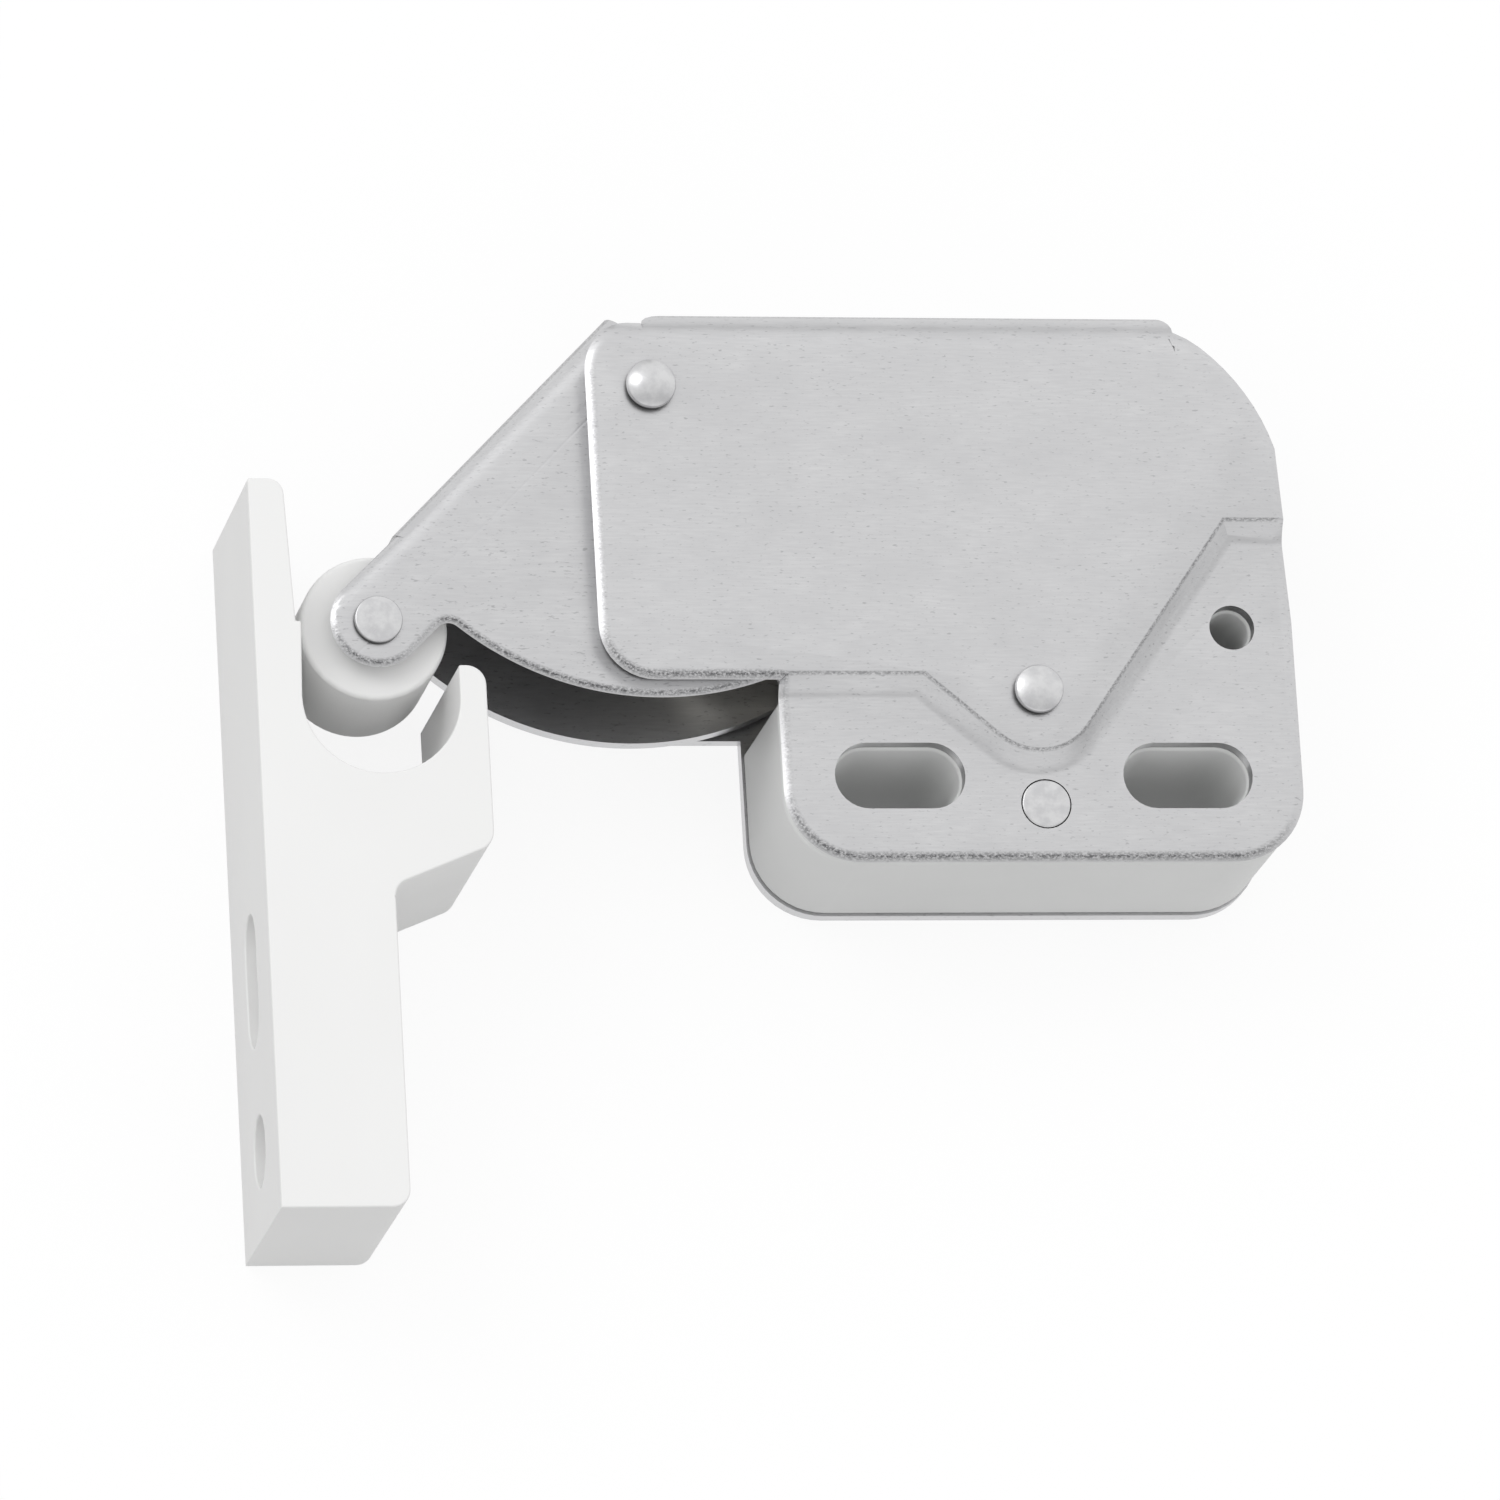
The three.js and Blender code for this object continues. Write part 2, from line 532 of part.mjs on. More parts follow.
function swingArm() {
  const past = ARM_REACH + CHEEK_RADIUS;
  const outline = armOutline([[WEB_END_PAST_PIVOT, CHEEK_EDGE]]);
  const cheeks = plate(outline, ARM_BACK, ARM_INNER_BACK).add(plate(outline, ARM_INNER_FRONT, ARM_FRONT));
  const reach = armOutline([[WEB_END_PAST_PIVOT, past], [ROLLER_STATION, past]]);
  const channel = armChannel().intersect(plate(reach, ARM_BACK - REACH_PAST, ARM_FRONT + REACH_PAST));
  const begin = WEB_START + TAB_OVERLAP;
  const webSide = polygon([
    armPoint(begin, WEB_OFFSET - WEB_BEND_RADIUS),
    armPoint(past, WEB_OFFSET - WEB_BEND_RADIUS),
    armPoint(past, past),
    armPoint(begin, past),
  ]);
  const flatCheeks = cheeks.subtract(plate(webSide, ARM_BACK - REACH_PAST, ARM_FRONT + REACH_PAST));
  let arm = channel.add(flatCheeks);
  const holes = [[PIVOT, SLEEVE_RADIUS + RUNNING_GAP], [ROLLER_AXIS, ROLLER_PIN_RADIUS + PRESS_GAP]];
  for (const [centre, radius] of holes) {
    arm = arm.subtract(rod(centre, radius, ARM_BACK - REACH_PAST, ARM_FRONT + REACH_PAST));
  }
  return arm.subtract(rod(STUD, STUD_NECK_RADIUS + PRESS_GAP, MID_HEIGHT, ARM_FRONT + REACH_PAST));
}

function rollerPin() {
  const front = ARM_FRONT + SEAT_GAP;
  const back = ARM_BACK - SEAT_GAP;
  const rim = ROLLER_HEAD_RADIUS - ROLLER_HEAD_CHAMFER;
  return turned(ROLLER_AXIS, [
    [0, back - ROLLER_HEAD_HEIGHT],
    [rim, back - ROLLER_HEAD_HEIGHT],
    [ROLLER_HEAD_RADIUS, back - ROLLER_HEAD_HEIGHT + ROLLER_HEAD_CHAMFER],
    [ROLLER_HEAD_RADIUS, back],
    [ROLLER_PIN_RADIUS, back],
    [ROLLER_PIN_RADIUS, front],
    [ROLLER_HEAD_RADIUS, front],
    [ROLLER_HEAD_RADIUS, front + ROLLER_HEAD_HEIGHT - ROLLER_HEAD_CHAMFER],
    [rim, front + ROLLER_HEAD_HEIGHT],
    [0, front + ROLLER_HEAD_HEIGHT],
  ]);
}

function roller() {
  const back = ARM_INNER_BACK + ROLLER_SIDE_GAP;
  const front = ARM_INNER_FRONT - ROLLER_SIDE_GAP;
  const body = turned(ROLLER_AXIS, [
    [0, back],
    [ROLLER_RADIUS - ROLLER_EDGE, back],
    [ROLLER_RADIUS, back + ROLLER_EDGE],
    [ROLLER_RADIUS, front - ROLLER_EDGE],
    [ROLLER_RADIUS - ROLLER_EDGE, front],
    [0, front],
  ], ROLLER_SIDES);
  const bore = ROLLER_PIN_RADIUS + RUNNING_GAP;
  return body.subtract(rod(ROLLER_AXIS, bore, back - REACH_PAST, front + REACH_PAST));
}

const TRACK_FLOOR = PAWL_TOP - TRACK_DEPTH;

function followerStud() {
  return turned(STUD, [
    [0, TRACK_FLOOR + FREE_GAP],
    [STUD_RADIUS, TRACK_FLOOR + FREE_GAP],
    [STUD_RADIUS, ARM_INNER_FRONT - SEAT_GAP],
    [STUD_NECK_RADIUS, ARM_INNER_FRONT - SEAT_GAP],
    [STUD_NECK_RADIUS, ARM_FRONT],
    [0, ARM_FRONT],
  ]);
}

// Where the stud stands on the pawl, when the arm has gone a share of its stroke.
function studOnPawl(share) {
  const swing = radians(ARM_STROKE) * share;
  return turnedAbout(turnedAbout(STUD, PIVOT, swing), PAWL_PIN, -PAWL_RATIO * swing);
}

// Frame of the heart-shaped track: its start, its directions along and across the stud's way, and its sizes.
function trackFrame() {
  const start = studOnPawl(0);
  const end = studOnPawl(1);
  const direction = end.clone().sub(start).normalize();
  const across = leftOf(direction);
  const bow = Math.abs(studOnPawl(0.5).sub(start).dot(across));
  const lane = STUD_RADIUS + TRACK_CLEARANCE;
  return {
    length: start.distanceTo(end),
    lane,
    low: -lane - bow,
    high: 3 * lane + HEART_WIDTH + STUD_RADIUS,
    at: (run, rise) => along(along(start, direction, run), across, rise),
  };
}

function roundedRegion(frame, grow) {
  const radius = frame.lane + grow;
  const low = frame.low + frame.lane;
  const high = frame.high - frame.lane;
  const shape = new THREE.Shape();
  const corners = [[frame.length, low], [frame.length, high], [0, high], [0, low]];
  const heading = angleFrom(frame.at(0, 0), frame.at(frame.length, 0));
  corners.forEach(([run, rise], index) => {
    const centre = frame.at(run, rise);
    const begin = heading + ((index - 1) * Math.PI) / 2;
    shape.absarc(centre.x, centre.y, radius, begin, begin + Math.PI / 2);
  });
  shape.closePath();
  return shape;
}

function heartIsland(frame) {
  const middle = frame.length / 2;
  const low = frame.lane;
  const high = low + HEART_WIDTH;
  const back = middle - HEART_LENGTH / 2;
  const front = middle + HEART_LENGTH / 2;
  return polygon([
    frame.at(back, (low + high) / 2),
    frame.at(middle, low),
    frame.at(front, low),
    frame.at(front - HEART_NOTCH, (low + high) / 2),
    frame.at(front, high),
    frame.at(middle, high),
  ]);
}

// Direction of the pawl's lever, and the side of it on which its spring bears.
const TRACK = trackFrame();
const LEVER_END = TRACK.at(TRACK.length / 2, TRACK.lane);
const LEVER_ANGLE = angleFrom(PAWL_PIN, LEVER_END);
const PAWL_COIL_RADIUS = PAWL_BUSH_RADIUS + FREE_GAP + PAWL_SPRING_WIRE / 2;
const PEG_OFFSET = PAWL_COIL_RADIUS - PAWL_SPRING_WIRE / 2 - FREE_GAP - PEG_RADIUS;

function catchPawl() {
  const head = plate(roundedRegion(TRACK, TRACK_WALL), PAWL_BOTTOM, PAWL_TOP);
  const lever = plate(capsule(PAWL_PIN, LEVER_END, PAWL_LEVER_WIDTH / 2), PAWL_BOTTOM, PAWL_TOP);
  const hub = rod(PAWL_PIN, PAWL_HUB_RADIUS, SHEET + FREE_GAP, PAWL_TOP);
  const leverWay = toward(LEVER_ANGLE);
  const peg = along(along(PAWL_PIN, leverWay, PEG_REACH), leftOf(leverWay), PEG_OFFSET);
  const track = plate(roundedRegion(TRACK, 0), TRACK_FLOOR, PAWL_TOP + REACH_PAST)
    .subtract(plate(heartIsland(TRACK), TRACK_FLOOR - REACH_PAST, PAWL_TOP));
  return head.add(lever).add(hub)
    .subtract(track)
    .add(rod(peg, PEG_RADIUS, MID_HEIGHT, PAWL_TOP + PEG_HEIGHT))
    .subtract(rod(PAWL_PIN, PAWL_BUSH_RADIUS + RUNNING_GAP, 0, POCKET_HEIGHT));
}

// Wire of a torsion spring: a straight leg, a coil and a second leg, both legs leaving the coil as tangents.
class SpringWire extends THREE.Curve {
  constructor({ centre, radius, startAngle, sweep, bottom, rise, startLeg, endLeg }) {
    super();
    Object.assign(this, { centre, radius, startAngle, sweep, bottom, rise, startLeg, endLeg });
    this.coilLength = Math.abs(sweep) * radius;
    this.length = startLeg + this.coilLength + endLeg;
  }

  coilPoint(share) {
    const place = along(this.centre, toward(this.startAngle + this.sweep * share), this.radius);
    return new THREE.Vector3(place.x, place.y, this.bottom + this.rise * share);
  }

  tangent(share) {
    const way = leftOf(toward(this.startAngle + this.sweep * share)).multiplyScalar(Math.sign(this.sweep));
    return new THREE.Vector3(way.x, way.y, 0);
  }

  getPoint(t) {
    const run = t * this.length - this.startLeg;
    const past = run - this.coilLength;
    if (run < 0) return this.coilPoint(0).addScaledVector(this.tangent(0), run);
    if (past > 0) return this.coilPoint(1).addScaledVector(this.tangent(1), past);
    return this.coilPoint(run / this.coilLength);
  }

  // Least distance between the wire's surfaces at stretches of the wire that lie half a turn or more apart.
  leastGap(wire) {
    const points = this.getPoints(GAP_SAMPLES);
    const apart = Math.ceil((Math.PI * this.radius * GAP_SAMPLES) / this.length);
    let least = Infinity;
    for (let i = 0; i < points.length; i += 1) {
      for (let j = i + apart; j < points.length; j += 1) {
        least = Math.min(least, points[i].distanceTo(points[j]));
      }
    }
    return least - wire;
  }
}

function springSolid(name, curve, wire) {
  const section = new THREE.Shape();
  for (let side = 0; side < WIRE_SIDES; side += 1) {
    const corner = toward((2 * Math.PI * side) / WIRE_SIDES).multiplyScalar(wire / 2);
    if (side === 0) section.moveTo(corner.x, corner.y);
    else section.lineTo(corner.x, corner.y);
  }
  section.closePath();
  const stepLength = (2 * Math.PI * curve.radius) / CURL_STEPS;
  const steps = Math.ceil(curve.length / stepLength);
  const options = { steps, extrudePath: curve, curveSegments: 1 };
  console.log(`${name}: least gap between turns ${curve.leastGap(wire).toFixed(2)} mm`);
  return solidOf(new THREE.ExtrudeGeometry(section, options));
}

// Spring round the pivot sleeve. One leg bears under the fold, the other stands where the web comes to.
function armSpring() {
  const radius = SLEEVE_RADIUS + FREE_GAP + ARM_SPRING_WIRE / 2;
  const foldReach = HOUSING_TOP - SHEET - FREE_GAP - ARM_SPRING_WIRE / 2 - PIVOT.y;
  const webReach = WEB_OFFSET - ARM_SHEET - FREE_GAP - ARM_SPRING_WIRE / 2;
  const endAngle = Math.PI / 2 + legLean(radius, ARM_SPRING_HOUSING_LEG, foldReach);
  const webNormal = WEB_ANGLE + Math.PI / 2 + radians(ARM_STROKE);
  const startAngle = webNormal - legLean(radius, ARM_SPRING_WEB_LEG, webReach);
  const bottom = ARM_INNER_BACK + FREE_GAP + ARM_SPRING_WIRE / 2;
  const top = ARM_INNER_FRONT - FREE_GAP - ARM_SPRING_WIRE / 2;
  const curve = new SpringWire({
    centre: PIVOT,
    radius,
    startAngle,
    sweep: endAngle - startAngle - 2 * Math.PI * ARM_SPRING_TURNS,
    bottom,
    rise: top - bottom,
    startLeg: ARM_SPRING_WEB_LEG,
    endLeg: ARM_SPRING_HOUSING_LEG,
  });
  return springSolid('arm_spring', curve, ARM_SPRING_WIRE);
}

// Spring round the pawl's bush, above the pawl. One leg bears on the pawl's peg, the other on the block.
function pawlSpring() {
  const radius = PAWL_COIL_RADIUS;
  const rightKnee = point(FLANGE_RIGHT - STEP_RIGHT_KNEE, STEP_RIGHT_LEVEL);
  const blockNormal = tangentNormal(PAWL_PIN, VALLEY_RADIUS, rightKnee, -1);
  const blockReach = VALLEY_RADIUS + BLOCK_STEP_GAP - FREE_GAP - PAWL_SPRING_WIRE / 2;
  const endAngle = blockNormal - legLean(radius, PAWL_SPRING_BLOCK_LEG, blockReach);
  const startAngle = LEVER_ANGLE + Math.PI / 2 - 2 * Math.PI;
  const bottom = PAWL_TOP + FREE_GAP + PAWL_SPRING_WIRE / 2;
  const top = FLANGE_HEIGHT - SHEET - FREE_GAP - PAWL_SPRING_WIRE / 2;
  const turn = 2 * Math.PI;
  const part = (((endAngle - startAngle) % turn) + turn) % turn;
  const curve = new SpringWire({
    centre: PAWL_PIN,
    radius,
    startAngle,
    sweep: part + turn * PAWL_SPRING_TURNS,
    bottom,
    rise: top - bottom,
    startLeg: PAWL_SPRING_PEG_LEG,
    endLeg: PAWL_SPRING_BLOCK_LEG,
  });
  return springSolid('pawl_spring', curve, PAWL_SPRING_WIRE);
}

// Side outline of the strike: tapered plate, roller notch, prong with a sloped underside, and screw bar.
function strikeOutline() {
  const notch = ROLLER_RADIUS + NOTCH_GAP;
  const faceX = NOTCH.x - STRIKE_FACE_DEPTH;
  const barX = faceX + BAR_THICKNESS;
  const topY = NOTCH.y + STRIKE_TOP;
  const bottomY = NOTCH.y - STRIKE_BOTTOM;
  const prongIn = NOTCH.x + notch;
  const prongOut = prongIn + PRONG_THICKNESS;
  const tipRun = prongOut - PRONG_TIP_ROUND + STRIKE_TRAVEL - PIVOT.x;
  const tipY = PIVOT.y - Math.sqrt((CHEEK_RADIUS + PRONG_CHEEK_GAP) ** 2 - tipRun ** 2);
  const mouth = Math.asin(THREE.MathUtils.clamp((tipY - NOTCH.y) / notch, -1, 0));
  const cornerY = NOTCH.y - PRONG_CORNER_DROP;
  const plateX = faceX + STRIKE_TOP_THICKNESS;
  const slope = point(barX - prongOut, -PRONG_UNDERSIDE_DROP).normalize();
  const underside = angleFrom(point(0, 0), slope);
  const shape = new THREE.Shape();
  shape.absarc(barX - BAR_CORNER, bottomY + BAR_CORNER, BAR_CORNER, -Math.PI / 2, 0);
  const filletReach = UNDERSIDE_FILLET * Math.tan((1.5 * Math.PI - underside) / 2);
  const fillet = along(point(barX, cornerY - PRONG_UNDERSIDE_DROP), point(0, -1), filletReach);
  shape.absarc(
    fillet.x + UNDERSIDE_FILLET, fillet.y, UNDERSIDE_FILLET,
    Math.PI, underside - Math.PI / 2, true,
  );
  const cornerReach = PRONG_CORNER * Math.tan((1.5 * Math.PI - underside) / 2);
  shape.absarc(
    prongOut - PRONG_CORNER, cornerY + cornerReach, PRONG_CORNER,
    underside + Math.PI / 2 - 2 * Math.PI, 0,
  );
  shape.absarc(prongOut - PRONG_TIP_ROUND, tipY - PRONG_TIP_ROUND, PRONG_TIP_ROUND, 0, Math.PI / 2);
  shape.lineTo(NOTCH.x + notch * Math.cos(mouth), tipY);
  shape.absarc(NOTCH.x, NOTCH.y, notch, mouth, -Math.PI, true);
  shape.absarc(plateX - STRIKE_TOP_ROUND, topY - STRIKE_TOP_ROUND, STRIKE_TOP_ROUND, 0, Math.PI / 2);
  shape.lineTo(faceX, topY);
  shape.lineTo(faceX, bottomY);
  shape.closePath();
  return shape;
}

function strike() {
  const middle = STRIKE_WIDTH / 2;
  const through = BAR_THICKNESS + 2 * REACH_PAST;
  const startX = NOTCH.x - STRIKE_FACE_DEPTH - REACH_PAST;
  const acrossBar = (shape) => {
    const options = { depth: through, bevelEnabled: false, curveSegments: ARC_STEPS };
    return solidOf(new THREE.ExtrudeGeometry(shape, options).applyMatrix4(SIDEWAYS).translate(startX, 0, 0));
  };
  const slotCentre = point(NOTCH.y - STRIKE_SLOT_DROP, middle);
  const hole = new THREE.Shape();
  hole.absarc(NOTCH.y - STRIKE_HOLE_DROP, middle, STRIKE_HOLE_RADIUS, 0, 2 * Math.PI);
  return plate(strikeOutline(), 0, STRIKE_WIDTH)
    .subtract(acrossBar(slotShape(slotCentre, STRIKE_SLOT_LENGTH, STRIKE_SLOT_WIDTH)))
    .subtract(acrossBar(hole));
}

function sleeve(centre, inner, outer) {
  return tube(centre, inner + PRESS_GAP, outer, SHEET + SEAT_GAP, POCKET_HEIGHT - SHEET - SEAT_GAP);
}

function armWasher(bottom) {
  const thickness = ARM_SIDE_GAP - 2 * WASHER_SIDE_GAP;
  return tube(PIVOT, SLEEVE_RADIUS + RUNNING_GAP, WASHER_RADIUS, bottom, bottom + thickness);
}

function blockRivet() {
  return rod(BLOCK_RIVET, BLOCK_RIVET_RADIUS, SEAT_GAP, FLANGE_HEIGHT + BLOCK_RIVET_PROUD);
}

// Finishes
const finish = (color, roughness, metalness) => (
  new THREE.MeshStandardMaterial({ color, roughness, metalness })
);
const ZINC_SHEET = finish(0xcacbcb, 0.42, 1.0);
const RIVET_STEEL = finish(0xb9babb, 0.38, 1.0);
const SPRING_STEEL = finish(0x8e9092, 0.35, 1.0);
const WHITE_PLASTIC = finish(0xf0f0ee, 0.5, 0.0);
const BLOCK_PLASTIC = finish(0xdcdddc, 0.55, 0.0);
const PAWL_PLASTIC = finish(0xd9d6cc, 0.5, 0.0);

const pivotSeat = POCKET_HEIGHT + SEAT_GAP;
const pieces = [
  ['housing_shell', housingShell(), ZINC_SHEET],
  ['spacer_block', spacerBlock(), BLOCK_PLASTIC],
  ['block_rivet', blockRivet(), RIVET_STEEL],
  ['arm_pivot_pin', domedRivet(
    PIVOT, PIVOT_RADIUS, PIVOT_HEAD_RADIUS, PIVOT_HEAD_SIDE, PIVOT_HEAD_DOME, pivotSeat,
  ), RIVET_STEEL],
  ['arm_pivot_sleeve', sleeve(PIVOT, PIVOT_RADIUS, SLEEVE_RADIUS), RIVET_STEEL],
  ['arm_washer_rear', armWasher(SHEET + WASHER_SIDE_GAP), RIVET_STEEL],
  ['arm_washer_front', armWasher(ARM_FRONT + WASHER_SIDE_GAP), RIVET_STEEL],
  ['arm_spring', armSpring(), SPRING_STEEL],
  ['pawl_pin', domedRivet(
    PAWL_PIN, PAWL_PIN_RADIUS, PAWL_HEAD_RADIUS, PAWL_HEAD_SIDE, PAWL_HEAD_DOME, pivotSeat,
  ), RIVET_STEEL],
  ['pawl_bush', sleeve(PAWL_PIN, PAWL_PIN_RADIUS, PAWL_BUSH_RADIUS), RIVET_STEEL],
  ['pawl_spring', pawlSpring(), SPRING_STEEL],
  ['catch_pawl', catchPawl(), PAWL_PLASTIC],
  ['swing_arm', swingArm(), ZINC_SHEET],
  ['follower_stud', followerStud(), RIVET_STEEL],
  ['roller_pin', rollerPin(), RIVET_STEEL],
  ['roller', roller(), WHITE_PLASTIC],
  ['strike', strike(), WHITE_PLASTIC],
];

const latch = new THREE.Group();
latch.name = 'touch_latch';
for (const [name, solid, material] of pieces) latch.add(meshOf(name, solid, material));

export default latch;
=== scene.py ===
"""Touch latch: a folded sheet-steel housing with a sprung roller arm, and the plastic strike that it holds.

Sizes are millimetres in the object's own frame. The latch lies on its back plate, +X is the way the door
pushes in, +Y points to the folded edge and +Z comes out of the front plate.
"""

import logging
import math
from dataclasses import dataclass, field
from enum import Enum
from typing import Callable, Iterable, Sequence

import bmesh
import bpy
from bmesh.types import BMEdge, BMesh, BMFace, BMVert
from mathutils import Matrix, Vector


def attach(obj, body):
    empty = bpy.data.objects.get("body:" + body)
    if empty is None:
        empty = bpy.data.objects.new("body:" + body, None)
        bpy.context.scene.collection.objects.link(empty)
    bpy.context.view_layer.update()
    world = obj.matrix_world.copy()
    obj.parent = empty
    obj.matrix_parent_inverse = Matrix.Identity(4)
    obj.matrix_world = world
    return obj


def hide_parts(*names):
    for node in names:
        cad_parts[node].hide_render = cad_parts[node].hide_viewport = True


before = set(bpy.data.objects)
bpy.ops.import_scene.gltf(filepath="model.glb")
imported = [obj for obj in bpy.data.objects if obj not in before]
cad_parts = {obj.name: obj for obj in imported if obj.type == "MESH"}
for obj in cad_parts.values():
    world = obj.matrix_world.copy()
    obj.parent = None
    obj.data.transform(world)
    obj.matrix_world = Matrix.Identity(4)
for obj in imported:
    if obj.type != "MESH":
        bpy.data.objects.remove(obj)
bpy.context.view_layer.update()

LOG = logging.getLogger("touch_latch")

Colour = tuple[float, float, float]
Pairs = tuple[tuple[float, float], ...]

MM = 0.001
# Distances in millimetres within which points count as one.
WELD = 1e-4
SHEET_WELD = 1e-3
FLAT_ANGLE = 0.002
QUARTER = math.pi / 2
FULL = 2 * math.pi
BEND_STEPS = 10
UP = (0.0, 0.0, 1.0)
DOWN = (0.0, 0.0, -1.0)
ALONG_X = Vector((1.0, 0.0))
STANDING = Matrix.Rotation(QUARTER, 4, "X")

# Vertex layer that marks where shade is painted into the metal's colour, from 0 to 1.
SHADE_LAYER = "painted_shade"
# A bend gets painted shade, a dark line, between these shares of its radius below the plate.
CREST = (0.5, 0.9)
CREST_SHADE = 0.5
# Way in which a rolled edge looks where its painted shade is darkest.
SHADED_WAY = Vector((-0.35, -0.95))

# Sockets of the Mix node for colours.
MIX_SHARE = 0
MIX_FIRST = 6
MIX_SECOND = 7
MIX_RESULT = 2


class Body(Enum):
    """Bodies of the latch that move as one."""

    HOUSING = "housing"
    ARM = "arm"
    ROLLER = "roller"
    PAWL = "pawl"
    STRIKE = "strike"


class Slot(Enum):
    """Material slots of the record."""

    ZINC_SHEET = "zinc_sheet"
    RIVET_STEEL = "rivet_steel"
    SPRING_STEEL = "spring_steel"
    WHITE_PLASTIC = "white_plastic"
    BLOCK_PLASTIC = "block_plastic"
    PAWL_PLASTIC = "pawl_plastic"


def toward(angle: float) -> Vector:
    """Return the unit vector of the plane at an angle."""
    return Vector((math.cos(angle), math.sin(angle)))


def left_of(way: Vector) -> Vector:
    """Return a plane vector turned a quarter to the left."""
    return Vector((-way.y, way.x))


def heading(start: Vector, end: Vector) -> float:
    """Return the angle of the way from one plane point to another."""
    return math.atan2(end.y - start.y, end.x - start.x)


def pick(geom: Iterable[object], kind: type) -> list:
    """Return the items of one kind."""
    return [item for item in geom if isinstance(item, kind)]


def spin(
    bm: BMesh, geom: Sequence[object], centre: Sequence[float], angle: float, steps: int,
    axis: Sequence[float] = UP, rise: float = 0.0, closed: bool = False,
) -> list:
    """Draw vertices and edges out round an axis.

    Args:
        bm: Mesh that holds them.
        geom: The vertices and edges.
        centre: Point on the axis.
        angle: Angle to go round.
        steps: Number of steps.
        axis: Direction of the axis.
        rise: Way up at each step.
        closed: Whether the last step meets the first.

    Returns:
        Vertices and edges of the last step.
    """
    made = bmesh.ops.spin(
        bm, geom=geom, cent=centre, axis=axis, dvec=(0.0, 0.0, rise), angle=angle, steps=steps,
        use_merge=closed, use_duplicate=False,
    )
    return made["geom_last"]


def draw_out(bm: BMesh, edges: Sequence[BMEdge], way: Sequence[float]) -> list:
    """Draw a row of edges straight on.

    Args:
        bm: Mesh that holds the edges.
        edges: The edges.
        way: Vector from the edges to their copy.

    Returns:
        Vertices and edges of the copy.
    """
    made = bmesh.ops.extrude_edge_only(bm, edges=edges)["geom"]
    verts = pick(made, BMVert)
    bmesh.ops.translate(bm, verts=verts, vec=way)
    return verts + [edge for edge in pick(made, BMEdge) if set(edge.verts) <= set(verts)]


def weld(bm: BMesh, reach: float) -> None:
    """Merge vertices that lie closer than a reach, and turn all faces outwards."""
    bmesh.ops.remove_doubles(bm, verts=bm.verts[:], dist=reach)
    bmesh.ops.recalc_face_normals(bm, faces=bm.faces[:])


class OutlinePen:
    """Draws one closed outline on a level plane, by drawing out and spinning its last vertex."""

    def __init__(self, bm: BMesh, height: float = 0.0) -> None:
        """Take up the pen.

        Args:
            bm: Mesh to draw in.
            height: Height of the plane.
        """
        self.bm = bm
        self.height = height
        self.edges: list[BMEdge] = []
        self.first: BMVert | None = None
        self.tip: BMVert | None = None

    def start(self, x: float, y: float) -> "OutlinePen":
        """Set the first point.

        Args:
            x: Where it lies along X.
            y: Where it lies along Y.

        Returns:
            The pen itself.
        """
        self.first = bmesh.ops.create_vert(self.bm, co=(x, y, self.height))["vert"][0]
        self.tip = self.first
        return self

    def line(self, x: float, y: float) -> "OutlinePen":
        """Draw a straight stretch.

        Args:
            x: Where the stretch ends along X.
            y: Where the stretch ends along Y.

        Returns:
            The pen itself.
        """
        made = bmesh.ops.extrude_vert_indiv(self.bm, verts=[self.tip])
        self.tip = made["verts"][0]
        self.edges += made["edges"]
        bmesh.ops.translate(self.bm, verts=[self.tip], vec=Vector((x, y, self.height)) - self.tip.co)
        return self

    def arc(self, x: float, y: float, angle: float, steps: int = 8) -> "OutlinePen":
        """Draw a round stretch about a centre.

        Args:
            x: Centre along X.
            y: Centre along Y.
            angle: Angle to go round, positive to the left.
            steps: Number of straight pieces.

        Returns:
            The pen itself.
        """
        known = set(self.bm.edges)
        self.tip = pick(spin(self.bm, [self.tip], (x, y, self.height), angle, steps), BMVert)[0]
        self.edges += [edge for edge in self.bm.edges if edge not in known]
        return self

    def close(self) -> list[BMEdge]:
        """Draw the last stretch back to the first point, and return all edges."""
        self.edges += bmesh.ops.contextual_create(self.bm, geom=[self.tip, self.first])["edges"]
        return self.edges

    def circle(self, x: float, y: float, radius: float, steps: int = 32) -> list[BMEdge]:
        """Draw a full circle, and return its edges."""
        self.start(x + radius, y).arc(x, y, FULL * (steps - 1) / steps, steps - 1)
        return self.close()

    def capsule(self, x: float, y: float, length: float, width: float, steps: int = 16) -> list[BMEdge]:
        """Draw a slot with round ends that lies along X.

        Args:
            x: Middle along X.
            y: Middle along Y.
            length: Whole length.
            width: Whole width.
            steps: Number of straight pieces at each end.

        Returns:
            The slot's edges.
        """
        half = (length - width) / 2
        radius = width / 2
        self.start(x + half, y - radius).arc(x + half, y, math.pi, steps)
        self.line(x - half, y + radius).arc(x - half, y, math.pi, steps)
        return self.close()

    def move(self, matrix: Matrix) -> list[BMEdge]:
        """Carry the drawn outline elsewhere.

        Args:
            matrix: How it is turned and moved.

        Returns:
            The outline's edges.
        """
        verts = list({vert for edge in self.edges for vert in edge.verts})
        bmesh.ops.transform(self.bm, matrix=matrix, verts=verts)
        return self.edges


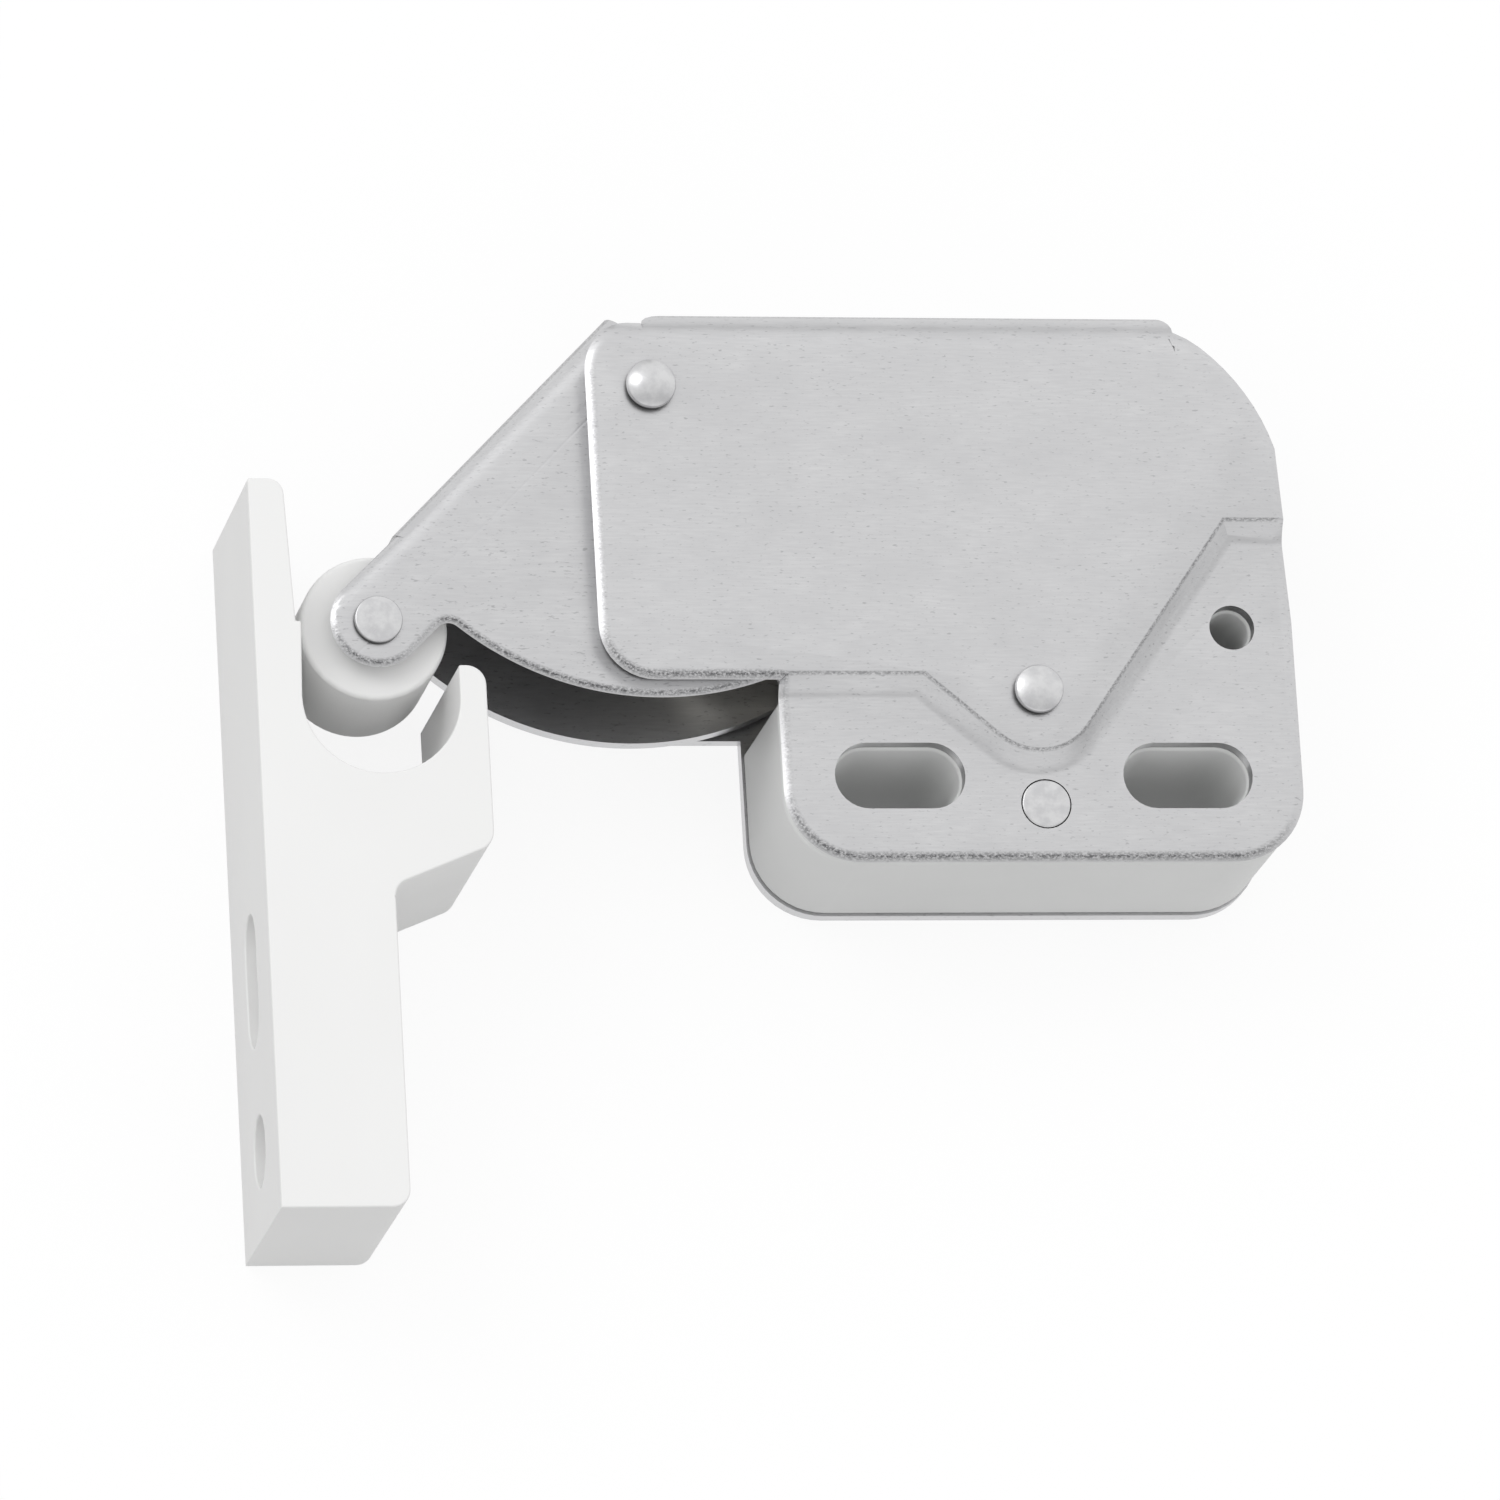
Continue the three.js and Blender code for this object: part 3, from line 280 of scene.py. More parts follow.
def fill(bm: BMesh, edges: Sequence[BMEdge], normal: Sequence[float] = UP) -> list[BMFace]:
    """Fill an outline, with any holes drawn in it, by flat faces.

    Args:
        bm: Mesh that holds the outline.
        edges: Edges of the outline and of the holes.
        normal: Direction that the faces look in.

    Returns:
        The new faces.
    """
    known = set(bm.faces)
    drawn = set(bm.edges)
    bmesh.ops.triangle_fill(bm, use_beauty=True, use_dissolve=False, edges=list(edges), normal=normal)
    inner = [edge for edge in bm.edges if edge not in drawn]
    bmesh.ops.dissolve_limit(
        bm, angle_limit=FLAT_ANGLE, use_dissolve_boundaries=False, verts=[], edges=inner, delimit=set(),
    )
    return [face for face in bm.faces if face not in known]


def thicken(bm: BMesh, faces: Sequence[BMFace], way: Sequence[float]) -> None:
    """Draw flat faces out to a closed solid.

    Args:
        bm: Mesh that holds the faces.
        faces: Faces to draw out.
        way: Vector from the faces to their copy.
    """
    made = bmesh.ops.extrude_face_region(bm, geom=faces, use_keep_orig=True)
    bmesh.ops.translate(bm, verts=pick(made["geom"], BMVert), vec=way)
    bmesh.ops.recalc_face_normals(bm, faces=bm.faces[:])


def fold(bm: BMesh, edge: BMEdge, way: Vector, radius: float, drop: float) -> None:
    """Fold a sheet down from an edge through half a turn: a bend, a straight wall and a second bend.

    Args:
        bm: Mesh that holds the sheet's outer face.
        edge: Edge of that face where the first bend begins.
        way: Direction along the edge, with the sheet on its right.
        radius: Outer radius of the bends.
        drop: Height of the straight wall between the bends.
    """
    axis = way.to_3d()
    start = edge.verts[0].co.copy()
    layer = bm.verts.layers.float[SHADE_LAYER]
    centre = start + Vector(DOWN) * radius
    bend = spin(bm, [edge, *edge.verts], centre, -QUARTER, BEND_STEPS, axis)
    # Paint shade along the bend's crest: a dark line on the fold.
    for vert in bm.verts:
        if CREST[0] * radius < start.z - vert.co.z < CREST[1] * radius:
            vert[layer] = CREST_SHADE
    wall = draw_out(bm, pick(bend, BMEdge), Vector(DOWN) * drop)
    centre = pick(wall, BMVert)[0].co - left_of(way).to_3d() * radius
    spin(bm, wall, centre, -QUARTER, BEND_STEPS, axis)


def slice_sheet(bm: BMesh, place: Vector, across: Vector) -> None:
    """Cut a sheet along a line of the plane without parting it.

    Args:
        bm: Mesh to cut.
        place: Plane point on the line.
        across: Plane direction square to the line.
    """
    bmesh.ops.bisect_plane(
        bm, geom=bm.verts[:] + bm.edges[:] + bm.faces[:], dist=WELD,
        plane_co=place.to_3d(), plane_no=across.to_3d(),
    )


def ease_bend(
    bm: BMesh, start: Vector, way: Vector, radius: float, span: float, eases: tuple[float, float], cuts: int,
) -> None:
    """Bend the flat sheet beside a fold down, less and less away from the fold's ends.

    Args:
        bm: Mesh that holds only the sheet's outer face.
        start: Plane point where the fold's line begins.
        way: Direction along the fold, with the sheet on its right.
        radius: Outer radius of the fold's bend.
        span: Length of the fold.
        eases: Lengths over which the bend dies away, before the fold and after it.
        cuts: Number of the bend's steps to cut the sheet at.
    """
    across = left_of(way)
    for cut in range(cuts):
        slice_sheet(bm, start + across * (radius * math.sin(QUARTER * cut / BEND_STEPS)), across)
    for vert in bm.verts:
        place = vert.co.to_2d() - start
        offset = place.dot(across)
        if offset < WELD:
            continue
        station = place.dot(way)
        away = max(-station / eases[0], (station - span) / eases[1], 0.0)
        share = max(0.0, 1.0 - away) ** 2 * (1.0 + 2.0 * min(away, 1.0))
        vert.co.z -= share * (radius - math.sqrt(max(0.0, radius ** 2 - offset ** 2)))


def shade_rolled_edge(bm: BMesh, middle: Sequence[BMEdge], outer: Sequence[BMEdge]) -> None:
    """Mark painted shade on a rolled edge where it looks down the plate.

    Args:
        bm: Mesh that holds the edge.
        middle: Edges in the middle of the roll.
        outer: Edges at its rim.
    """
    layer = bm.verts.layers.float[SHADE_LAYER]
    rim = {vert for edge in outer for vert in edge.verts}
    for vert in {vert for edge in middle for vert in edge.verts}:
        near = min(rim, key=lambda other: (other.co - vert.co).length)
        out = (near.co - vert.co).to_2d().normalized()
        vert[layer] = max(0.0, out.dot(SHADED_WAY))


def roll_over(
    bm: BMesh, rim: list[BMEdge], roll: Pairs, draw: Callable[[BMesh, float, float], OutlinePen],
) -> None:
    """Roll a sheet's cut edge over, and paint shade on the roll.

    Args:
        bm: Mesh that holds the sheet's outer face.
        rim: Edges where the roll begins.
        roll: Lines of the roll from its beginning to the cut edge: distance from that edge, and drop.
        draw: Method that draws one of those lines.
    """
    for out, drop in roll[1:]:
        line = draw(bm, out, drop).edges
        bmesh.ops.bridge_loops(bm, edges=rim + line)
        if (out, drop) == roll[-1]:
            shade_rolled_edge(bm, rim, line)
        rim = line


@dataclass(frozen=True)
class Grain:
    """A noise: its waves per millimetre along X, Y and Z, its finer layers and the share of each."""

    spread: tuple[float, float, float]
    detail: float
    roughness: float = 0.5


class NodeBench:
    """Adds and links the nodes of one material or of the world."""

    def __init__(self, owner: bpy.types.ID, output: str = "ShaderNodeOutputMaterial") -> None:
        """Clear the nodes and add the output.

        Args:
            owner: Material or world that owns the nodes.
            output: Type of the output node.
        """
        owner.use_nodes = True
        self.owner = owner
        self.tree = owner.node_tree
        self.tree.nodes.clear()
        self.output = self.add(output)

    def add(self, kind: str, values: dict[str, object] | None = None, **settings: object) -> bpy.types.Node:
        """Add a node.

        Args:
            kind: Node type.
            values: Input sockets and their constant values.
            settings: Properties of the node.

        Returns:
            The new node.
        """
        node = self.tree.nodes.new(kind)
        for key, value in settings.items():
            setattr(node, key, value)
        for key, value in (values or {}).items():
            node.inputs[key].default_value = value
        return node

    def link(self, source: bpy.types.Node, out: str | int, target: bpy.types.Node, into: str | int) -> None:
        """Link an output to an input."""
        self.tree.links.new(source.outputs[out], target.inputs[into])

    def noise(self, grain: Grain) -> bpy.types.Node:
        """Add a noise on the piece's own coordinates.

        Args:
            grain: The noise to add.

        Returns:
            The noise node.
        """
        coords = self.add("ShaderNodeTexCoord")
        mapping = self.add("ShaderNodeMapping", {"Scale": tuple(value / MM for value in grain.spread)})
        self.link(coords, "Object", mapping, "Vector")
        sizes = {"Scale": 1.0, "Detail": grain.detail, "Roughness": grain.roughness}
        node = self.add("ShaderNodeTexNoise", sizes)
        self.link(mapping, "Vector", node, "Vector")
        return node

    def ramp(self, source: bpy.types.Node, stops: Pairs) -> bpy.types.Node:
        """Add a grey ramp after a node's first output.

        Args:
            source: Node to read.
            stops: Places and grey levels.

        Returns:
            The ramp node.
        """
        node = self.add("ShaderNodeValToRGB")
        points = node.color_ramp.elements
        while len(points) < len(stops):
            points.new(1.0)
        for point, (place, level) in zip(points, stops):
            point.position = place
            point.color = (level, level, level, 1.0)
        self.link(source, 0, node, "Fac")
        return node

    def combine(self, operation: str, *sources: tuple[bpy.types.Node, str]) -> bpy.types.Node:
        """Add a calculation with two outputs.

        Args:
            operation: What is done with them.
            sources: Nodes, and the output to read of each.

        Returns:
            The math node.
        """
        node = self.add("ShaderNodeMath", operation=operation)
        for socket, (source, out) in enumerate(sources):
            self.link(source, out, node, socket)
        return node

    def blend(self, share: bpy.types.Node, out: str, first: object, second: object) -> bpy.types.Node:
        """Add a mix of two colours.

        Args:
            share: Node whose output sets the share of the second colour.
            out: Output to read.
            first: Colour or mix node for share 0.
            second: Colour or mix node for share 1.

        Returns:
            The mix node.
        """
        node = self.add("ShaderNodeMix", data_type="RGBA")
        self.link(share, out, node, MIX_SHARE)
        for socket, value in ((MIX_FIRST, first), (MIX_SECOND, second)):
            if isinstance(value, bpy.types.Node):
                self.link(value, MIX_RESULT, node, socket)
            else:
                node.inputs[socket].default_value = (*value, 1.0)
        return node

    def shade_mask(self) -> bpy.types.Node:
        """Add the piece's painted shade, read from its vertex layer, and return its node."""
        return self.add("ShaderNodeAttribute", attribute_name=SHADE_LAYER)

    def finish(
        self, look: "SheetMetal | TurnedMetal | MouldedPlastic", shader: bpy.types.Node,
        colour: bpy.types.Node, gloss: bpy.types.Node, relief: bpy.types.Node,
    ) -> bpy.types.Material:
        """Lead colour, gloss and relief to a shader, and the shader to the output.

        Args:
            look: Finish that holds the roughness and the depth of the relief.
            shader: The shader.
            colour: Mix node of its colour.
            gloss: Noise that its roughness follows.
            relief: Node whose first output is the relief's height.

        Returns:
            The finished material.
        """
        least, most = look.roughness
        dull = self.add("ShaderNodeMapRange", {"To Min": least, "To Max": most})
        bump = self.add("ShaderNodeBump", {"Strength": look.bump, "Distance": look.depth * MM})
        self.link(colour, MIX_RESULT, shader, "Base Color")
        self.link(gloss, "Fac", dull, "Value")
        self.link(dull, "Result", shader, "Roughness")
        self.link(relief, 0, bump, "Height")
        self.link(bump, "Normal", shader, "Normal")
        self.link(shader, "BSDF", self.output, "Surface")
        return self.owner


@dataclass(frozen=True)
class SheetMetal:
    """Zinc-plated sheet with a rolling grain, faint clouds, small dark flecks, and speckled painted shade on
    its lower rolled edges, bend crests and the step's crease.
    """

    name: str = "zinc_sheet"
    pale: Colour = (0.70, 0.70, 0.705)
    deep: Colour = (0.55, 0.55, 0.56)
    fleck: Colour = (0.36, 0.36, 0.37)
    # Colour of the painted shade on the lower rolled edges, bend crests and the step's crease.
    edge_shade: Colour = (0.10, 0.10, 0.105)
    grain: Grain = Grain((0.7, 8.0, 8.0), 4.0, 0.6)
    clouds: Grain = Grain((0.22, 0.3, 0.3), 5.0, 0.6)
    flecks: Grain = Grain((2.6, 8.0, 8.0), 2.0)
    shade_speckle: Grain = Grain((6.0, 9.0, 9.0), 3.0, 0.7)
    fine: Grain = Grain((5.0, 9.0, 9.0), 3.0, 0.6)
    streak_stops: Pairs = ((0.35, 0.6), (0.65, 0.0))
    fleck_stops: Pairs = ((0.63, 0.0), (0.72, 0.65))
    speckle_stops: Pairs = ((0.38, 0.0), (0.58, 1.0))
    roughness: tuple[float, float] = (0.26, 0.38)
    bump: float = 0.3
    depth: float = 0.012

    def make(self) -> bpy.types.Material:
        """Build the material.

        Returns:
            The new material.
        """
        bench = NodeBench(bpy.data.materials.new(self.name))
        grain = bench.noise(self.grain)
        tone = bench.blend(bench.noise(self.clouds), "Fac", self.deep, self.pale)
        streaked = bench.blend(bench.ramp(grain, self.streak_stops), "Color", tone, self.deep)
        speck = bench.ramp(bench.noise(self.flecks), self.fleck_stops)
        flecked = bench.blend(speck, "Color", streaked, self.fleck)
        # Painted shade: the dark colour, broken by a speckle, laid where the shade layer is set.
        shade_speckle = bench.ramp(bench.noise(self.shade_speckle), self.speckle_stops)
        speckled_shade = bench.combine("MULTIPLY", (shade_speckle, "Color"), (bench.shade_mask(), "Fac"))
        speckled_shade.use_clamp = True
        colour = bench.blend(speckled_shade, "Value", flecked, self.edge_shade)
        relief = bench.combine("ADD", (grain, "Fac"), (bench.noise(self.fine), "Fac"))
        shader = bench.add("ShaderNodeBsdfPrincipled", {"Metallic": 1.0})
        return bench.finish(self, shader, colour, grain, relief)


@dataclass(frozen=True)
class TurnedMetal:
    """Bare turned or drawn steel with mottled tone, small scratches and painted shade where it is marked."""

    name: str
    pale: Colour
    deep: Colour
    roughness: tuple[float, float]
    # Colour of the painted shade on the marked parts.
    underside_shade: Colour = (0.05, 0.05, 0.05)
    mottle: Grain = Grain((1.4, 1.4, 1.4), 4.0, 0.65)
    scratches: Grain = Grain((3.2, 3.2, 3.2), 4.0, 0.6)
    patch_stops: Pairs = ((0.38, 0.0), (0.62, 1.0))
    bump: float = 0.3
    depth: float = 0.02

    def make(self) -> bpy.types.Material:
        """Build the material.

        Returns:
            The new material.
        """
        bench = NodeBench(bpy.data.materials.new(self.name))
        mottle = bench.noise(self.mottle)
        unshaded = bench.blend(bench.ramp(mottle, self.patch_stops), "Color", self.deep, self.pale)
        # Painted shade: the marked parts, the sides of heads by the plate, turn dark.
        colour = bench.blend(bench.shade_mask(), "Fac", unshaded, self.underside_shade)
        shader = bench.add("ShaderNodeBsdfPrincipled", {"Metallic": 1.0})
        return bench.finish(self, shader, colour, mottle, bench.noise(self.scratches))


@dataclass(frozen=True)
class MouldedPlastic:
    """Satin moulded plastic with a soft change of tone and a fine skin."""

    name: str
    pale: Colour
    deep: Colour
    roughness: tuple[float, float] = (0.42, 0.56)
    clouds: Grain = Grain((0.12, 0.09, 0.12), 3.0)
    skin: Grain = Grain((3.0, 3.0, 3.0), 3.0, 0.55)
    specular: float = 0.4
    bump: float = 0.12
    depth: float = 0.015

    def make(self) -> bpy.types.Material:
        """Build the material.

        Returns:
            The new material.
        """
        bench = NodeBench(bpy.data.materials.new(self.name))
        colour = bench.blend(bench.noise(self.clouds), "Fac", self.deep, self.pale)
        shader = bench.add("ShaderNodeBsdfPrincipled", {"Specular IOR Level": self.specular})
        skin = bench.noise(self.skin)
        return bench.finish(self, shader, colour, skin, skin)


class Finishes:
    """The finish of each material slot, made once."""

    def __init__(self) -> None:
        """Make all materials."""
        looks = {
            Slot.ZINC_SHEET: SheetMetal(),
            Slot.RIVET_STEEL: TurnedMetal(
                "rivet_steel", (0.68, 0.68, 0.685), (0.58, 0.58, 0.59), (0.24, 0.36),
            ),
            Slot.SPRING_STEEL: TurnedMetal(
                "spring_wire", (0.33, 0.34, 0.35), (0.20, 0.21, 0.22), (0.26, 0.4),
            ),
            Slot.WHITE_PLASTIC: MouldedPlastic("white_plastic", (0.88, 0.88, 0.875), (0.84, 0.84, 0.835)),
            Slot.BLOCK_PLASTIC: MouldedPlastic("block_plastic", (0.79, 0.795, 0.79), (0.73, 0.735, 0.73)),
            Slot.PAWL_PLASTIC: MouldedPlastic("pawl_plastic", (0.71, 0.69, 0.63), (0.65, 0.63, 0.57)),
        }
        self.materials = {slot: look.make() for slot, look in looks.items()}


@dataclass(frozen=True)
class Edging:
    """Rounding of a piece's edges."""

    width: float
    segments: int = 3
    angle: float = 32.0


@dataclass
class Piece:
    """A finished piece: its node, body, slot, wall and edges."""

    node: str
    body: Body
    slot: Slot
    edging: Edging
    wall: float = 0.0

    def settle(self, bm: BMesh, finishes: Finishes) -> None:
        """Turn a mesh in millimetres into the dressed object that stands for its node.

        Args:
            bm: The mesh, which is freed.
            finishes: The finishes to dress it in.
        """
        bmesh.ops.scale(bm, vec=(MM, MM, MM), verts=bm.verts[:])
        for face in bm.faces:
            face.smooth = True
        mesh = bpy.data.meshes.new(f"{self.node}_form")
        bm.to_mesh(mesh)
        bm.free()
        piece = bpy.data.objects.new(f"{self.node}_form", mesh)
        bpy.context.scene.collection.objects.link(piece)
        mesh.materials.append(finishes.materials[self.slot])
        if self.wall > 0.0:
            solid = piece.modifiers.new("wall", "SOLIDIFY")
            solid.thickness = self.wall * MM
            solid.offset = -1.0
            solid.use_even_offset = True
            solid.use_quality_normals = True
        bevel = piece.modifiers.new("edges", "BEVEL")
        bevel.width = self.edging.width * MM
        bevel.segments = self.edging.segments
        bevel.limit_method = "ANGLE"
        bevel.angle_limit = math.radians(self.edging.angle)
        bevel.harden_normals = True
        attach(piece, self.body.value)
        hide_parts(self.node)
        LOG.info("%s: %d faces before its edges are rounded", piece.name, len(mesh.polygons))


PIVOT = Vector((-21.3, 22.3))
PAWL_PIN = Vector((-0.32, 4.6))
ROLLER_AXIS = Vector((-37.049, 9.0522))
BLOCK_RIVET = Vector((0.0, -1.64))
STUD = Vector((-15.514, 9.662))


@dataclass(frozen=True)
class StepLine:
    """Line of the step between pocket and flange: two shelves and a valley round the pawl's pin."""

    left_knee: Vector = Vector((-6.6, 5.78))
    right_knee: Vector = Vector((10.95, 14.8))
    valley: float = 3.26
    valley_steps: int = 14

    def touch_angle(self, knee: Vector, side: int) -> float:
        """Return the angle at which the line from a knee touches the valley."""
        return heading(PAWL_PIN, knee) + side * math.acos(self.valley / (knee - PAWL_PIN).length)

    def knee_at(self, angle: float, grow: float, level: float) -> Vector:
        """Find where a slope of the grown line comes to a level.

        Args:
            angle: Angle at which the slope touches the valley.
            grow: Distance that the line is moved down.
            level: Height along Y.

        Returns:
            The knee.
        """
        touch = PAWL_PIN + toward(angle) * (self.valley + grow)
        slope = left_of(toward(angle))
        return touch + slope * ((level - touch.y) / slope.y)

    def draw(self, pen: OutlinePen, grow: float, to_right: bool = True) -> None:
        """Draw the line from one knee to the other.

        Args:
            pen: Pen that stands on the shelf where the line begins.
            grow: Distance that the line is moved down.
            to_right: Whether the line goes from the left knee to the right one.
        """
        left = self.touch_angle(self.left_knee, 1)
        right = self.touch_angle(self.right_knee, -1)
        sweep = (right - left) % FULL
        angle = left
        start = self.knee_at(left, grow, self.left_knee.y - grow)
        end = self.knee_at(right, grow, self.right_knee.y - grow)
        if not to_right:
            angle, sweep = right, -sweep
            start, end = end, start
        touch = PAWL_PIN + toward(angle) * (self.valley + grow)
        pen.line(*start).line(*touch).arc(*PAWL_PIN, sweep, self.valley_steps)
        pen.line(*end)


@dataclass
class Housing:
    """Folded housing: front plate with a raised pocket and a flange, top fold and back plate."""

    sheet: float = 0.9
    pocket_height: float = 13.0
    flange_height: float = 12.0
    left: float = -24.9
    side: float = 14.8
    pocket_bottom: float = 5.3
    pocket_corner: float = 3.1
    tab_top: float = 26.3
    fold_left: float = -21.417
    fold_right: float = 8.9
    bend: float = 24.5
    bend_radius: float = 2.7
    flange_bottom: float = -4.95
    flange_corner: float = 4.2
    lean_start: float = 9.0
    shoulder_side: Vector = Vector((14.3, 18.9))
    shoulder_top: Vector = Vector((8.9, 25.9))
    shoulder_radius: float = 12.0
    corner_gap: float = 0.3
    corner_steps: int = 10
    flange_steps: int = 12
    fold_draws: tuple[float, float] = (1.7, -0.7)
    # Lines of the step from the pocket to the flange: way out, drop and painted shade, which draws a dark
    # line along the step's upper crease.
    slope: tuple[tuple[float, float, float], ...] = (
        (0.0, 0.0, 0.0), (0.07, 0.025, 0.6), (0.14, 0.09, 0.6), (0.26, 0.22, 0.0), (0.6, 0.56, 0.0),
        (0.82, 0.75, 0.0), (1.02, 0.88, 0.0), (1.2, 0.96, 0.0), (1.35, 1.0, 0.0),
    )
    roll: Pairs = ((0.62, 0.0), (0.3, 0.04), (0.0, 0.19))
    rim_spread: float = 0.02
    eases: tuple[float, float] = (2.8, 2.2)
    ease_cuts: int = 5
    slot_spacing: float = 16.4
    slot_length: float = 7.4
    slot_width: float = 3.8
    locating_hole: Vector = Vector((11.3, 8.62))
    locating_radius: float = 1.29
    rivet_hole: float = 1.05
    block_rivet_hole: float = 1.43
    edging: Edging = Edging(0.19, 4)
    step: StepLine = StepLine()

    def right_edge(self, y: float) -> float:
        """Return where the leaning right edge stands at a height."""
        share = (y - self.lean_start) / (self.shoulder_side.y - self.lean_start)
        return self.side + (self.shoulder_side.x - self.side) * max(0.0, share)

    def draw_left(self, pen: OutlinePen, inset: float = 0.0) -> None:
        """Draw from the fold's left end, round the pocket's left edge to its bottom.

        Args:
            pen: Pen that stands at the top of the tab.
            inset: Distance that the line keeps from the cut edge.
        """
        inner = self.left + self.pocket_corner
        pen.line(inner, self.tab_top - inset)
        pen.arc(inner, self.tab_top - self.pocket_corner, QUARTER, self.corner_steps)
        pen.line(self.left + inset, self.pocket_bottom + self.pocket_corner)
        pen.arc(inner, self.pocket_bottom + self.pocket_corner, QUARTER, self.corner_steps)

    def draw_flange(self, pen: OutlinePen, inset: float = 0.0) -> None:
        """Draw from the flange's left edge, round its bottom, to where the right edge begins to lean.

        Args:
            pen: Pen that stands on the flange's left edge.
            inset: Distance that the line keeps from the cut edge.
        """
        inner = self.side - self.flange_corner
        base = self.flange_bottom + self.flange_corner
        pen.line(-self.side + inset, base).arc(-inner, base, QUARTER, self.flange_steps)
        pen.line(inner, self.flange_bottom + inset).arc(inner, base, QUARTER, self.flange_steps)
        pen.line(self.side - inset, self.lean_start)

    def draw_shoulder(self, pen: OutlinePen, inset: float = 0.0) -> None:
        """Draw the right edge's upper part and the shoulder, to the fold's right end.

        Args:
            pen: Pen that stands on the right edge.
            inset: Distance that the line keeps from the cut edge.
        """
        span = self.shoulder_top - self.shoulder_side
        rise = math.sqrt(self.shoulder_radius ** 2 - (span.length / 2) ** 2)
        centre = (self.shoulder_side + self.shoulder_top) / 2 + left_of(span.normalized()) * rise
        start = heading(centre, self.shoulder_side)
        sweep = (heading(centre, self.shoulder_top) - start) % FULL
        pen.line(*(centre + toward(start) * (self.shoulder_radius - inset)))
        pen.arc(*centre, sweep, self.corner_steps)

    def flange_openings(self, bm: BMesh, height: float) -> list[BMEdge]:
        """Draw the slots, the locating hole and the rivet's hole of one plate.

        Args:
            bm: Mesh to draw in.
            height: Height of the plate's outer face.

        Returns:
            Edges of all openings.
        """
        edges: list[BMEdge] = []
        for side in (-1, 1):
            middle = side * self.slot_spacing / 2
            edges += OutlinePen(bm, height).capsule(middle, 0.0, self.slot_length, self.slot_width)
        edges += OutlinePen(bm, height).circle(*self.locating_hole, self.locating_radius)
        edges += OutlinePen(bm, height).circle(*BLOCK_RIVET, self.block_rivet_hole)
        return edges

    def pin_holes(self, bm: BMesh, height: float) -> list[BMEdge]:
        """Draw the holes of the two pins, and return their edges."""
        pivot = OutlinePen(bm, height).circle(*PIVOT, self.rivet_hole)
        return pivot + OutlinePen(bm, height).circle(*PAWL_PIN, self.rivet_hole)

    def draw_rim(self, bm: BMesh, out: float, drop: float) -> OutlinePen:
        """Draw one line of the front plate's rolled edge, from the fold's left end round to its right end.

        Args:
            bm: Mesh to draw in.
            out: Distance that the line keeps from the cut edge.
            drop: Depth of the line below the plate's face.

        Returns:
            The pen that drew it.
        """
        shelf, level = self.step.left_knee.y, self.step.right_knee.y
        pen = OutlinePen(bm, self.pocket_height - drop)
        pen.start(self.fold_left, self.tab_top - out)
        self.draw_left(pen, out)
        pen.line(-self.side - self.corner_gap, self.pocket_bottom + out)
        # The step's lines end close together on the left edge, so its points are kept apart there.
        for count, (grow, fall, _) in enumerate(self.slope):
            pen.height = self.pocket_height - fall - drop
            pen.line(-self.side + out, min(shelf - grow, self.pocket_bottom + out - self.rim_spread * count))
        self.draw_flange(pen, out)
        for grow, fall, _ in reversed(self.slope):
            pen.height = self.pocket_height - fall - drop
            pen.line(self.right_edge(level - grow) - out, level - grow)
        self.draw_shoulder(pen, out)
        return pen

    def front_plate(self, bm: BMesh) -> BMEdge:
        """Make the front plate's outer face, with its pressed step and its rolled cut edges.

        Args:
            bm: Mesh to build in.

        Returns:
            The edge where the top fold begins.
        """
        inset = self.roll[0][0]
        corner = -self.side - self.corner_gap
        left = -self.side + inset
        shelf, level = self.step.left_knee.y, self.step.right_knee.y
        upper = OutlinePen(bm, self.pocket_height)
        upper.start(self.fold_right, self.bend).line(self.fold_left, self.bend)
        upper.line(self.fold_left, self.tab_top - inset)
        bend = upper.edges[0]
        marks = [len(upper.edges)]
        self.draw_left(upper, inset)
        upper.line(corner, self.pocket_bottom + inset).line(left, shelf)
        marks.append(len(upper.edges))
        self.step.draw(upper, 0.0)
        upper.line(self.right_edge(level) - inset, level)
        marks.append(len(upper.edges))
        self.draw_shoulder(upper, inset)
        marks.append(len(upper.edges))
        chains = [upper.edges[marks[1]:marks[2]]]
        rim = upper.edges[marks[0]:marks[1]] + upper.edges[marks[2]:marks[3]]
        fill(bm, upper.close() + self.pin_holes(bm, self.pocket_height))

        layer = bm.verts.layers.float[SHADE_LAYER]
        # The lines by the step's upper crease carry painted shade, a dark line along the crease.
        for grow, drop, shade_mask in self.slope[1:-1]:
            pen = OutlinePen(bm, self.pocket_height - drop)
            pen.start(left, shelf - grow)
            self.step.draw(pen, grow)
            pen.line(self.right_edge(level - grow) - inset, level - grow)
            chains.append(pen.edges)
            for edge in pen.edges:
                for vert in edge.verts:
                    vert[layer] = shade_mask
        run = self.slope[-1][0]
        lower = OutlinePen(bm, self.flange_height)
        lower.start(left, shelf - run)
        self.draw_flange(lower, inset)
        lower.line(self.right_edge(level - run) - inset, level - run)
        rim += lower.edges
        mark = len(lower.edges)
        self.step.draw(lower, run, False)
        fill(bm, lower.close() + self.flange_openings(bm, self.flange_height))
        chains.append(lower.edges[mark:])
        known = set(bm.edges)
        for first, second in zip(chains, chains[1:]):
            bmesh.ops.bridge_loops(bm, edges=first + second)
        rim += [edge for edge in bm.edges if edge not in known and edge.is_boundary]
        roll_over(bm, rim, self.roll, self.draw_rim)
        span = self.fold_right - self.fold_left
        start = Vector((self.fold_left, self.bend))
        ease_bend(bm, start, ALONG_X, self.bend_radius, span, self.eases, self.ease_cuts)
        return bend

